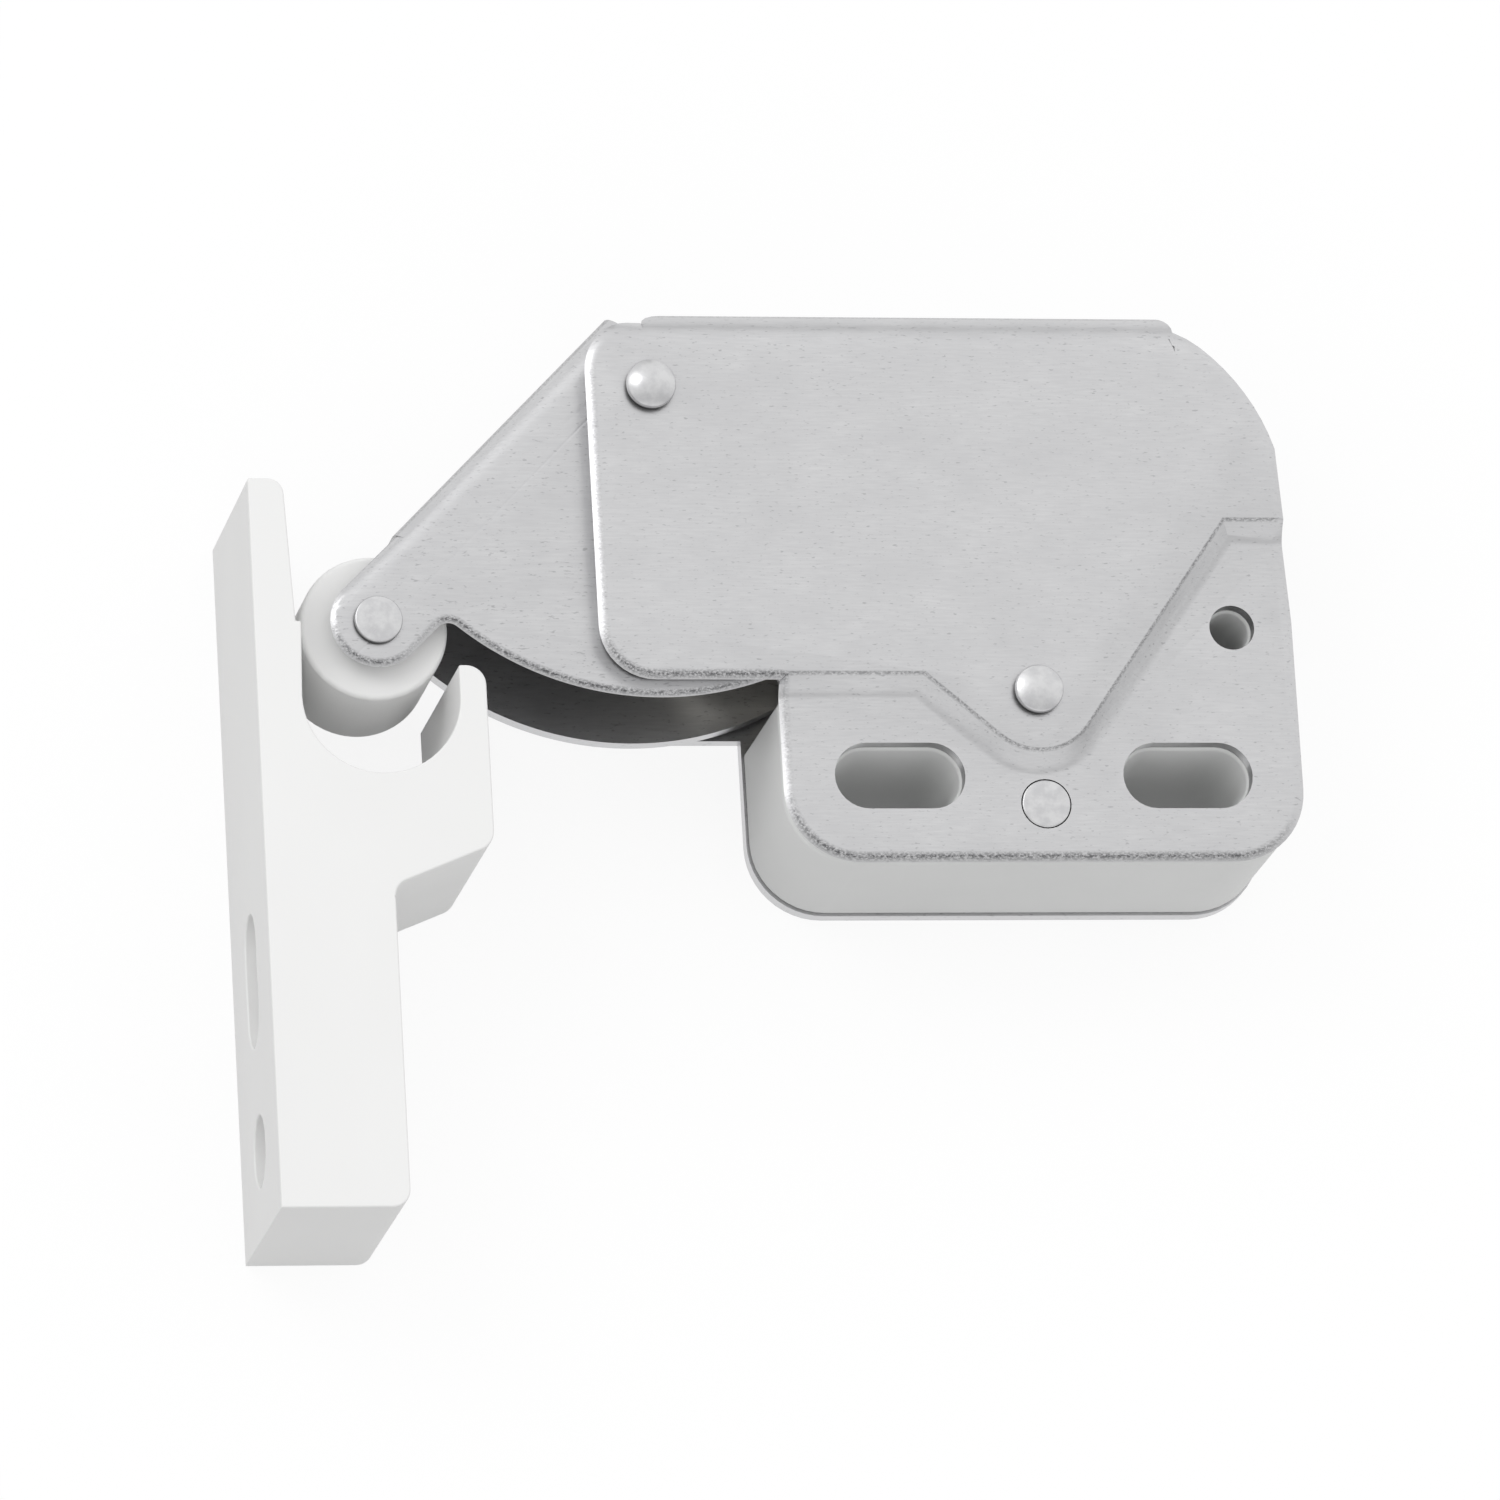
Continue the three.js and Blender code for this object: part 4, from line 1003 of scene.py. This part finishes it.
    def back_plate(self, bm: BMesh) -> None:
        """Make the back plate's outer face.

        Args:
            bm: Mesh to build in.
        """
        pen = OutlinePen(bm, 0.0)
        pen.start(self.fold_right, self.bend).line(self.fold_left, self.bend)
        pen.line(self.fold_left, self.tab_top)
        self.draw_left(pen)
        pen.line(-self.side, self.pocket_bottom)
        self.draw_flange(pen)
        self.draw_shoulder(pen)
        edges = pen.close() + self.flange_openings(bm, 0.0) + self.pin_holes(bm, 0.0)
        fill(bm, edges, DOWN)

    def round_fold(self, bm: BMesh) -> None:
        """Draw the fold's ends in towards its crest, so that they run on from the tab and the shoulder.

        Args:
            bm: Mesh that holds the front plate and the fold.
        """
        crest = self.bend + self.bend_radius
        ends = ((self.fold_left, self.tab_top), (self.fold_right, self.shoulder_top.y))
        for (end, top), draw in zip(ends, self.fold_draws):
            for vert in bm.verts:
                if abs(vert.co.x - end) < WELD and vert.co.y > top:
                    share = (vert.co.y - top) / (crest - top)
                    bmesh.ops.translate(bm, verts=[vert], vec=(draw * share ** 2, 0.0, 0.0))

    def build(self, finishes: Finishes) -> None:
        """Build and dress the housing.

        Args:
            finishes: The finishes to dress it in.
        """
        bm = bmesh.new()
        bm.verts.layers.float.new(SHADE_LAYER)
        bend = self.front_plate(bm)
        fold(bm, bend, ALONG_X, self.bend_radius, self.pocket_height - 2 * self.bend_radius)
        self.round_fold(bm)
        self.back_plate(bm)
        weld(bm, SHEET_WELD)
        piece = Piece("housing_shell", Body.HOUSING, Slot.ZINC_SHEET, self.edging, self.sheet)
        piece.settle(bm, finishes)


@dataclass
class SpacerBlock:
    """Plastic block between the flange and the back plate."""

    bottom: float = 0.93
    top: float = 11.07
    side: float = 14.7
    low: float = -4.85
    corner: float = 4.1
    corner_steps: int = 12
    step_gap: float = 1.18
    inset: float = 0.12
    draft: float = 0.6
    rivet_hole: float = 1.43
    edging: Edging = Edging(0.34, 4)
    housing: Housing = field(default_factory=Housing)

    def taper_slots(self, bm: BMesh) -> None:
        """Draw the slots' back ends in, as the mould's draft does.

        Args:
            bm: Mesh of the block.
        """
        house = self.housing
        width = house.slot_width - 2 * self.inset
        for side in (-1, 1):
            middle = Vector((side * house.slot_spacing / 2, 0.0, self.bottom))
            reach = Vector((house.slot_length / 2, house.slot_width / 2, WELD))
            verts = [
                vert for vert in bm.verts
                if all(abs(gap) < limit for gap, limit in zip(vert.co - middle, reach))
            ]
            shrink = (1.0, 1.0 - 2 * self.draft / width, 1.0)
            bmesh.ops.scale(bm, vec=shrink, verts=verts, space=Matrix.Translation(-middle))

    def build(self, finishes: Finishes) -> None:
        """Build and dress the block.

        Args:
            finishes: The finishes to dress it in.
        """
        bm = bmesh.new()
        house = self.housing
        step = house.step
        inner = self.side - self.corner
        base = self.low + self.corner
        pen = OutlinePen(bm, self.bottom)
        pen.start(-self.side, step.left_knee.y - self.step_gap)
        step.draw(pen, self.step_gap)
        pen.line(self.side, step.right_knee.y - self.step_gap).line(self.side, base)
        pen.arc(inner, base, -QUARTER, self.corner_steps).line(-inner, self.low)
        edges = pen.arc(-inner, base, -QUARTER, self.corner_steps).close()
        length = house.slot_length - 2 * self.inset
        width = house.slot_width - 2 * self.inset
        for side in (-1, 1):
            middle = side * house.slot_spacing / 2
            edges += OutlinePen(bm, self.bottom).capsule(middle, 0.0, length, width)
        edges += OutlinePen(bm, self.bottom).circle(*house.locating_hole, house.locating_radius - self.inset)
        edges += OutlinePen(bm, self.bottom).circle(*BLOCK_RIVET, self.rivet_hole)
        thicken(bm, fill(bm, edges), (0.0, 0.0, self.top - self.bottom))
        self.taper_slots(bm)
        Piece("spacer_block", Body.HOUSING, Slot.BLOCK_PLASTIC, self.edging).settle(bm, finishes)


@dataclass
class SwingArm:
    """Channel-shaped arm: two cheeks round the roller and the pivot, joined by a web."""

    sheet: float = 1.0
    back: float = 1.45
    front: float = 11.55
    web_angle: float = math.radians(45.1995)
    web_offset: float = 4.66
    bend_radius: float = 1.5
    web_start: float = -15.7976
    web_end: float = 2.1
    cheek_edge: float = 4.46
    cheek_radius: float = 17.6005
    cheek_end: float = math.radians(-56.0)
    boss_radius: float = 2.62
    pivot_boss: float = 3.1
    neck_angle: float = math.radians(230.13)
    neck_fillet: float = 0.8
    pivot_hole: float = 1.66
    pin_hole: float = 1.05
    stud_hole: float = 0.5
    stud_steps: int = 16
    boss_steps: int = 28
    edge_steps: int = 40
    pivot_steps: int = 12
    roll: Pairs = ((0.5, 0.0), (0.24, 0.04), (0.0, 0.17))
    eases: tuple[float, float] = (3.4, 1.0)
    ease_cuts: int = 7
    score_offset: float = 1.35
    score_width: float = 0.06
    score_depth: float = 0.01
    edging: Edging = Edging(0.2, 4)

    def place(self, station: float, offset: float) -> Vector:
        """Return the plane point at a station along the web and an offset across it."""
        way = toward(self.web_angle)
        return PIVOT + way * station + left_of(way) * offset

    def draw_edge(self, pen: OutlinePen, inset: float) -> None:
        """Draw from the web's start round the roller's boss and along the cheek's round edge.

        Args:
            pen: Pen that stands at the web's start.
            inset: Distance that the line keeps from the cut edge.
        """
        neck = PIVOT + toward(self.neck_angle) * (self.cheek_radius + self.neck_fillet)
        reach = (neck - ROLLER_AXIS).length
        boss_start = self.web_angle + QUARTER
        boss_end = heading(ROLLER_AXIS, neck) - math.acos((self.boss_radius + self.neck_fillet) / reach)
        neck_sweep = (heading(neck, PIVOT) - boss_end - math.pi) % FULL - FULL
        pen.line(*(ROLLER_AXIS + toward(boss_start) * (self.boss_radius - inset)))
        pen.arc(*ROLLER_AXIS, (boss_end - boss_start) % FULL, self.boss_steps)
        pen.line(*(neck + toward(boss_end + math.pi) * (self.neck_fillet + inset)))
        pen.arc(*neck, neck_sweep)
        pen.arc(*PIVOT, (self.cheek_end - heading(PIVOT, neck)) % FULL, self.edge_steps)

    def draw_cheek(self, bm: BMesh, height: float, inset: float = 0.0) -> tuple[list[BMEdge], list[BMEdge]]:
        """Draw one cheek, whose first edge is where the web's bend begins.

        Args:
            bm: Mesh to draw in.
            height: Height of the cheek's outer face.
            inset: Distance that the line keeps from the cut edge.

        Returns:
            The edges of the outline, and those of the cut edge alone.
        """
        bend = self.web_offset - self.bend_radius
        pivot_end = self.web_angle + math.acos(self.web_end / self.pivot_boss)
        pen = OutlinePen(bm, height)
        pen.start(*self.place(self.web_end, bend)).line(*self.place(self.web_start, bend))
        pen.line(*self.place(self.web_start, self.cheek_edge - inset))
        mark = len(pen.edges)
        self.draw_edge(pen, inset)
        cut = pen.edges[mark:]
        pen.line(PIVOT.x + self.pivot_boss, PIVOT.y)
        pen.arc(*PIVOT, pivot_end, self.pivot_steps)
        return pen.close(), cut

    def draw_rim(self, bm: BMesh, out: float, drop: float) -> OutlinePen:
        """Draw one line of the front cheek's rolled edge.

        Args:
            bm: Mesh to draw in.
            out: Distance that the line keeps from the cut edge.
            drop: Depth of the line below the cheek's face.

        Returns:
            The pen that drew it.
        """
        pen = OutlinePen(bm, self.front - drop)
        pen.start(*self.place(self.web_start, self.cheek_edge - out))
        self.draw_edge(pen, out)
        return pen

    def score(self, bm: BMesh) -> None:
        """Press the faint line into the front cheek that runs past the roller's pin.

        Args:
            bm: Mesh of the front cheek.
        """
        across = left_of(toward(self.web_angle))
        for step in (-1, 0, 1):
            slice_sheet(bm, PIVOT + across * (self.score_offset + step * self.score_width), across)
        line = [
            vert for vert in bm.verts
            if abs((vert.co.to_2d() - PIVOT).dot(across) - self.score_offset) < WELD
        ]
        bmesh.ops.translate(bm, verts=line, vec=(0.0, 0.0, -self.score_depth))

    def build(self, finishes: Finishes) -> None:
        """Build and dress the arm.

        Args:
            finishes: The finishes to dress it in.
        """
        bm = bmesh.new()
        bm.verts.layers.float.new(SHADE_LAYER)
        way = toward(self.web_angle)
        for height, inset in ((self.front, self.roll[0][0]), (self.back, 0.0)):
            outline, cut = self.draw_cheek(bm, height, inset)
            bend = outline[0]
            edges = outline + OutlinePen(bm, height).circle(*PIVOT, self.pivot_hole)
            edges += OutlinePen(bm, height).circle(*ROLLER_AXIS, self.pin_hole)
            if height == self.back:
                fill(bm, edges, DOWN)
                continue
            edges += OutlinePen(bm, height).circle(*STUD, self.stud_hole, self.stud_steps)
            fill(bm, edges)
            roll_over(bm, cut, self.roll, self.draw_rim)
            self.score(bm)
            start = self.place(self.web_start, self.web_offset - self.bend_radius)
            span = self.web_end - self.web_start
            ease_bend(bm, start, way, self.bend_radius, span, self.eases, self.ease_cuts)
            fold(bm, bend, way, self.bend_radius, self.front - self.back - 2 * self.bend_radius)
        weld(bm, SHEET_WELD)
        Piece("swing_arm", Body.ARM, Slot.ZINC_SHEET, self.edging, self.sheet).settle(bm, finishes)


@dataclass
class Strike:
    """Plastic strike: a tapered plate, the roller's notch, a prong and a bar with a slot and a hole."""

    notch: Vector = Vector((-37.299, 4.3022))
    notch_radius: float = 4.4
    notch_steps: int = 30
    face: float = -44.199
    bar: float = -37.049
    plate: float = -42.199
    ledge: Vector = Vector((-41.56, 8.6))
    ledge_depth: float = 0.31
    top: float = 16.852
    bottom: float = -24.698
    top_round: float = 0.9
    width: float = 13.0
    prong_out: float = -31.399
    prong_tip: float = 6.08
    tip_round: float = 1.1
    prong_corner: float = 1.2
    corner_level: float = -4.198
    underside_drop: float = 2.3
    underside_fillet: float = 1.0
    bar_corner: float = 1.0
    slot_level: float = -10.198
    slot_length: float = 7.5
    slot_width: float = 3.8
    hole_level: float = -19.848
    hole_radius: float = 2.0
    edging: Edging = Edging(0.45, 5)

    def draw_side(self, bm: BMesh) -> list[BMEdge]:
        """Draw the side outline.

        Args:
            bm: Mesh to draw in.

        Returns:
            The edges of the outline.
        """
        downwards = 3 * QUARTER
        slope = math.atan2(-self.underside_drop, self.bar - self.prong_out) % FULL
        half = math.tan((downwards - slope) / 2)
        fillet_y = self.corner_level - self.underside_drop - self.underside_fillet * half
        corner = Vector((self.prong_out - self.prong_corner, self.corner_level + self.prong_corner * half))
        pen = OutlinePen(bm, 0.0)
        pen.start(self.face, self.top).line(self.face, self.bottom)
        pen.line(self.bar - self.bar_corner, self.bottom)
        pen.arc(self.bar - self.bar_corner, self.bottom + self.bar_corner, QUARTER)
        pen.line(self.bar, fillet_y)
        pen.arc(self.bar + self.underside_fillet, fillet_y, slope - downwards)
        start = corner + toward(slope + QUARTER) * self.prong_corner
        pen.line(*start).arc(*corner, (-slope - QUARTER) % FULL)
        tip = self.prong_out - self.tip_round
        pen.line(self.prong_out, self.prong_tip - self.tip_round)
        pen.arc(tip, self.prong_tip - self.tip_round, QUARTER)
        pen.line(self.notch.x + self.notch_radius, self.prong_tip)
        pen.line(self.notch.x + self.notch_radius, self.notch.y).arc(*self.notch, -math.pi, self.notch_steps)
        pen.line(*self.ledge).line(self.ledge.x - self.ledge_depth, self.ledge.y)
        pen.line(self.plate, self.top - self.top_round)
        pen.arc(self.plate - self.top_round, self.top - self.top_round, QUARTER)
        return pen.close()

    def pierce(self, bm: BMesh, x: float) -> tuple[list[BMEdge], list[BMEdge]]:
        """Cut the slot and the hole into one face of the bar.

        Args:
            bm: Mesh of the strike.
            x: Where the face stands along X.

        Returns:
            The edges of the slot and of the hole.
        """
        face = next(item for item in bm.faces if all(abs(vert.co.x - x) < WELD for vert in item.verts))
        rim = list(face.edges)
        bmesh.ops.delete(bm, geom=[face], context="FACES_ONLY")
        # The pen's X goes along Y, and its Y along Z.
        lay = Matrix(((0, 0, 1, x), (1, 0, 0, 0), (0, 1, 0, 0), (0, 0, 0, 1)))
        slot = OutlinePen(bm)
        slot.capsule(self.slot_level, self.width / 2, self.slot_length, self.slot_width)
        hole = OutlinePen(bm)
        hole.circle(self.hole_level, self.width / 2, self.hole_radius)
        fill(bm, rim + slot.move(lay) + hole.move(lay), ALONG_X.to_3d())
        return slot.edges, hole.edges

    def build(self, finishes: Finishes) -> None:
        """Build and dress the strike.

        Args:
            finishes: The finishes to dress it in.
        """
        bm = bmesh.new()
        thicken(bm, fill(bm, self.draw_side(bm)), (0.0, 0.0, self.width))
        cuts = [self.pierce(bm, x) for x in (self.face, self.bar)]
        for near, far in zip(*cuts):
            bmesh.ops.bridge_loops(bm, edges=near + far)
        bmesh.ops.recalc_face_normals(bm, faces=bm.faces[:])
        Piece("strike", Body.STRIKE, Slot.WHITE_PLASTIC, self.edging).settle(bm, finishes)


def ring(inner: float, outer: float, low: float, high: float) -> Pairs:
    """Return the profile of a ring: radius and height of its corners."""
    return (inner, low), (outer, low), (outer, high), (inner, high)


@dataclass
class TurnedPart:
    """A piece turned about an upright axis: a pin, a rivet, a sleeve, a washer or a roller."""

    piece: Piece
    centre: Vector
    profile: Pairs
    dome: float = 0.0
    steps: int = 48
    shaded_below: float = 0.0

    def build(self, finishes: Finishes) -> None:
        """Build and dress the piece.

        A profile that starts on the axis ends there too, by its dome or its last point. Any other is closed.

        Args:
            finishes: The finishes to dress it in.
        """
        bm = bmesh.new()
        pen = OutlinePen(bm)
        pen.start(*self.profile[0])
        for radius, height in self.profile[1:]:
            pen.line(radius, height)
        radius, height = self.profile[-1]
        if self.dome > 0.0:
            ball = (radius ** 2 + self.dome ** 2) / (2 * self.dome)
            pen.arc(0.0, height + self.dome - ball, math.asin(radius / ball))
        elif radius > 0.0:
            pen.close()
        pen.move(Matrix.Translation((*self.centre, 0.0)) @ STANDING)
        spin(bm, bm.verts[:] + bm.edges[:], (*self.centre, 0.0), FULL, self.steps, closed=True)
        weld(bm, WELD)
        layer = bm.verts.layers.float.new(SHADE_LAYER)
        # Paint shade on all below this height: the dark side of a head where it meets the plate.
        for vert in bm.verts:
            vert[layer] = 1.0 if vert.co.z < self.shaded_below else 0.0
        self.piece.settle(bm, finishes)


@dataclass
class TorsionSpring:
    """Spring of round wire: a straight leg, a coil and a second leg."""

    node: str
    centre: Vector
    radius: float
    wire: float
    start: float
    sweep: float
    bottom: float
    top: float
    start_leg: float
    end_leg: float
    sides: int = 12
    steps_per_turn: int = 28
    edging: Edging = Edging(0.08, 2, 50.0)

    def leg_way(self, angle: float) -> Vector:
        """Return the direction in which the wire runs at an angle of the coil."""
        return left_of(toward(angle)).to_3d() * math.copysign(1.0, self.sweep)

    def build(self, finishes: Finishes) -> None:
        """Build and dress the spring.

        Args:
            finishes: The finishes to dress it in.
        """
        bm = bmesh.new()
        way = self.leg_way(self.start)
        begin = (self.centre + toward(self.start) * self.radius).to_3d() + Vector((0.0, 0.0, self.bottom))
        out = toward(self.start).to_3d()
        place = Matrix((out, UP, way)).transposed().to_4x4()
        place.translation = begin - way * self.start_leg
        bmesh.ops.create_circle(bm, cap_ends=True, radius=self.wire / 2, segments=self.sides, matrix=place)
        wire = draw_out(bm, bm.edges[:], way * self.start_leg)
        steps = round(self.steps_per_turn * abs(self.sweep) / FULL)
        rise = (self.top - self.bottom) / steps
        coil = spin(bm, wire, (*self.centre, 0.0), self.sweep, steps, rise=rise)
        end = draw_out(bm, pick(coil, BMEdge), self.leg_way(self.start + self.sweep) * self.end_leg)
        bmesh.ops.contextual_create(bm, geom=pick(end, BMEdge))
        bmesh.ops.recalc_face_normals(bm, faces=bm.faces[:])
        Piece(self.node, Body.HOUSING, Slot.SPRING_STEEL, self.edging).settle(bm, finishes)


@dataclass
class CatchPawl:
    """Plastic pawl with the heart-shaped track that the arm's stud runs in."""

    node: str = "catch_pawl"
    edging: Edging = Edging(0.12, 2)

    def build(self, finishes: Finishes) -> None:
        """Build and dress the pawl from its merged solid.

        Args:
            finishes: The finishes to dress it in.
        """
        bm = bmesh.new()
        bm.from_mesh(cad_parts[self.node].data)
        bmesh.ops.scale(bm, vec=(1 / MM,) * 3, verts=bm.verts[:])
        bmesh.ops.remove_doubles(bm, verts=bm.verts[:], dist=WELD)
        bmesh.ops.dissolve_limit(
            bm, angle_limit=FLAT_ANGLE, use_dissolve_boundaries=False, verts=bm.verts[:],
            edges=bm.edges[:], delimit=set(),
        )
        Piece(self.node, Body.PAWL, Slot.PAWL_PLASTIC, self.edging).settle(bm, finishes)


@dataclass
class Fasteners:
    """Rivets, pins, sleeves and washers."""

    edge: Edging = Edging(0.1)
    head: Edging = Edging(0.1, 4, 25.0)
    fine: Edging = Edging(0.05)
    block_rivet: Pairs = ((0.0, 0.03), (1.38, 0.03), (1.38, 12.06))
    block_dome: float = 0.06
    shank: Pairs = ((0.0, 0.03), (1.0, 0.03), (1.0, 13.03))
    head_seat: float = 13.03
    head_undercut: float = 0.1
    head_levels: tuple[float, ...] = (13.3, 13.48, 13.62)
    # Shade is painted on the pins below this height, so the sides of their heads look dark.
    head_shade_level: float = 13.4
    stud: Pairs = ((0.0, 7.0), (0.6, 7.0), (0.6, 10.52), (0.45, 10.52), (0.45, 11.55), (0.0, 11.55))
    roller_pin: Pairs = (
        (0.0, 0.97), (1.35, 0.97), (1.35, 1.42), (1.0, 1.42),
        (1.0, 11.58), (1.35, 11.58), (1.35, 11.75), (1.35, 11.95),
    )
    roller_dome: float = 0.08
    # Shade is painted on the roller pin below this height, so the side of its head looks dark.
    roller_shade_level: float = 11.8
    pivot_sleeve: Pairs = ring(1.05, 1.6, 0.93, 12.07)
    pawl_bush: Pairs = ring(1.05, 1.5, 0.93, 12.07)
    rear_washer: Pairs = ring(1.66, 2.4, 1.0, 1.35)
    front_washer: Pairs = ring(1.66, 2.4, 11.65, 12.0)

    def domed_pin(self, node: str, centre: Vector, radius: float, dome: float) -> TurnedPart:
        """Describe a pin of the housing with an undercut, domed head.

        Args:
            node: Node of the pin.
            centre: Plane point of its axis.
            radius: Radius of the head.
            dome: Height of the dome.

        Returns:
            The pin.
        """
        rows = [(radius - self.head_undercut, self.head_seat)]
        rows += [(radius, level) for level in self.head_levels]
        piece = Piece(node, Body.HOUSING, Slot.RIVET_STEEL, self.head)
        return TurnedPart(piece, centre, (*self.shank, *rows), dome, shaded_below=self.head_shade_level)

    def plain_part(self, node: str, centre: Vector, profile: Pairs) -> TurnedPart:
        """Describe a piece of the housing without a head."""
        return TurnedPart(Piece(node, Body.HOUSING, Slot.RIVET_STEEL, self.edge), centre, profile)

    def parts(self) -> list[TurnedPart]:
        """List the turned pieces.

        Returns:
            The pieces in the order of building.
        """
        rivet = self.plain_part("block_rivet", BLOCK_RIVET, self.block_rivet)
        rivet.dome = self.block_dome
        stud = Piece("follower_stud", Body.ARM, Slot.RIVET_STEEL, self.fine)
        pin = Piece("roller_pin", Body.ARM, Slot.RIVET_STEEL, self.edge)
        return [
            rivet,
            self.domed_pin("arm_pivot_pin", PIVOT, radius=1.4, dome=0.45),
            self.domed_pin("pawl_pin", PAWL_PIN, radius=1.37, dome=0.3),
            TurnedPart(stud, STUD, self.stud),
            TurnedPart(pin, ROLLER_AXIS, self.roller_pin, self.roller_dome, shaded_below=self.roller_shade_level),
            self.plain_part("arm_pivot_sleeve", PIVOT, self.pivot_sleeve),
            self.plain_part("pawl_bush", PAWL_PIN, self.pawl_bush),
            self.plain_part("arm_washer_rear", PIVOT, self.rear_washer),
            self.plain_part("arm_washer_front", PIVOT, self.front_washer),
        ]

    def build(self, finishes: Finishes) -> None:
        """Build and dress all pieces."""
        for part in self.parts():
            part.build(finishes)


@dataclass
class Roller:
    """White roller between the arm's cheeks."""

    bore: float = 1.06
    radius: float = 4.15
    back: float = 2.8
    front: float = 10.2
    steps: int = 72
    edging: Edging = Edging(0.3, 4)

    def build(self, finishes: Finishes) -> None:
        """Build and dress the roller.

        Args:
            finishes: The finishes to dress it in.
        """
        profile = ring(self.bore, self.radius, self.back, self.front)
        piece = Piece("roller", Body.ROLLER, Slot.WHITE_PLASTIC, self.edging)
        TurnedPart(piece, ROLLER_AXIS, profile, steps=self.steps).build(finishes)


class Springs:
    """Torsion springs of the arm and of the pawl."""

    def __init__(self) -> None:
        """Set the sizes of both springs."""
        self.arm = TorsionSpring(
            "arm_spring", PIVOT, radius=2.3, wire=0.8, start=math.radians(140.366),
            sweep=math.radians(-1843.05), bottom=3.15, top=9.85, start_leg=5.0, end_leg=8.0,
        )
        self.pawl = TorsionSpring(
            "pawl_spring", PAWL_PIN, radius=1.975, wire=0.35, start=math.radians(-114.097),
            sweep=math.radians(772.66), bottom=8.775, top=10.625, start_leg=6.6, end_leg=5.0,
        )

    def build(self, finishes: Finishes) -> None:
        """Build and dress both springs."""
        self.arm.build(finishes)
        self.pawl.build(finishes)


@dataclass
class Studio:
    """White floor, soft light and the camera of the photograph."""

    floor_size: float = 6.0
    floor_tone: float = 0.46
    floor_white: float = 0.88
    camera_place: tuple[float, float, float] = (-148.06, -184.98, 635.36)
    camera_right: tuple[float, float, float] = (0.98020, -0.05662, 0.18976)
    camera_up: tuple[float, float, float] = (-0.00013, 0.95807, 0.28654)
    camera_back: tuple[float, float, float] = (-0.19803, -0.28089, 0.93909)
    lens: float = 288.0
    sensor: float = 36.0
    lamp_place: Vector = Vector((-0.6, 0.45, 0.85))
    lamp_size: float = 0.5
    lamp_power: float = 1.6
    room_tones: Pairs = (
        (0.0, 0.96), (0.14, 0.96), (0.22, 0.74), (0.34, 0.74), (0.44, 0.94),
        (0.62, 0.97), (0.72, 1.05), (0.84, 1.05), (0.96, 1.0), (1.0, 0.5),
    )

    def floor(self) -> None:
        """Lay the floor, white where it is seen and pale where it lights the object, with a shadow."""
        bm = bmesh.new()
        bmesh.ops.create_grid(bm, x_segments=1, y_segments=1, size=self.floor_size / 2)
        mesh = bpy.data.meshes.new("floor")
        bm.to_mesh(mesh)
        bm.free()
        floor = bpy.data.objects.new("floor", mesh)
        bpy.context.scene.collection.objects.link(floor)
        material = bpy.data.materials.new("floor_white")
        mesh.materials.append(material)
        bench = NodeBench(material)
        path = bench.add("ShaderNodeLightPath")
        seen = bench.combine("MAXIMUM", (path, "Is Camera Ray"), (path, "Is Glossy Ray"))
        clear = bench.combine("MAXIMUM", (seen, "Value"), (path, "Is Transmission Ray"))
        share = bench.add("ShaderNodeMath", {1: self.floor_white}, operation="MULTIPLY")
        bench.link(clear, "Value", share, 0)
        tone = bench.blend(clear, "Value", (self.floor_tone,) * 3, (1.0, 1.0, 1.0))
        pale = bench.add("ShaderNodeBsdfDiffuse")
        bench.link(tone, MIX_RESULT, pale, "Color")
        white = bench.add("ShaderNodeEmission", {"Color": (1.0, 1.0, 1.0, 1.0), "Strength": 1.0})
        both = bench.add("ShaderNodeMixShader")
        bench.link(share, "Value", both, 0)
        bench.link(pale, "BSDF", both, 1)
        bench.link(white, "Emission", both, 2)
        bench.link(both, "Shader", bench.output, "Surface")

    def world(self) -> None:
        """Light the room evenly, with a darker band behind the camera and a darker end beyond the fold."""
        world = bpy.data.worlds.new("room")
        bpy.context.scene.world = world
        bench = NodeBench(world, "ShaderNodeOutputWorld")
        coords = bench.add("ShaderNodeTexCoord")
        parts = bench.add("ShaderNodeSeparateXYZ")
        place = bench.add("ShaderNodeMapRange", {"From Min": -1.0})
        backdrop = bench.add("ShaderNodeBackground")
        bench.link(coords, "Generated", parts, "Vector")
        bench.link(parts, "Y", place, "Value")
        bench.link(bench.ramp(place, self.room_tones), "Color", backdrop, "Color")
        bench.link(backdrop, "Background", bench.output, "Surface")

    def lamp(self) -> None:
        """Hang a soft square lamp that looks at the latch."""
        light = bpy.data.lights.new("key", "AREA")
        light.shape = "SQUARE"
        light.size = self.lamp_size
        light.energy = self.lamp_power
        lamp = bpy.data.objects.new("key", light)
        lamp.location = self.lamp_place
        lamp.rotation_euler = (-self.lamp_place).to_track_quat("-Z", "Y").to_euler()
        bpy.context.scene.collection.objects.link(lamp)

    def camera(self) -> None:
        """Set up the camera at the photograph's place and angle."""
        lens = bpy.data.cameras.new("camera")
        lens.lens = self.lens
        lens.sensor_width = self.sensor
        camera = bpy.data.objects.new("camera", lens)
        turn = Matrix((self.camera_right, self.camera_up, self.camera_back)).transposed()
        camera.matrix_world = Matrix.Translation(Vector(self.camera_place) * MM) @ turn.to_4x4()
        bpy.context.scene.collection.objects.link(camera)
        bpy.context.scene.camera = camera

    def build(self) -> None:
        """Build the whole studio."""
        self.floor()
        self.world()
        self.lamp()
        self.camera()
        bpy.context.scene.view_settings.view_transform = "Standard"


def main() -> None:
    """Build the latch and its studio."""
    logging.basicConfig(level=logging.INFO, format="%(name)s: %(message)s")
    finishes = Finishes()
    for part in (Housing, SpacerBlock, Fasteners, Springs, CatchPawl, SwingArm, Roller, Strike):
        part().build(finishes)
    Studio().build()


if __name__ == "__main__":
    main()
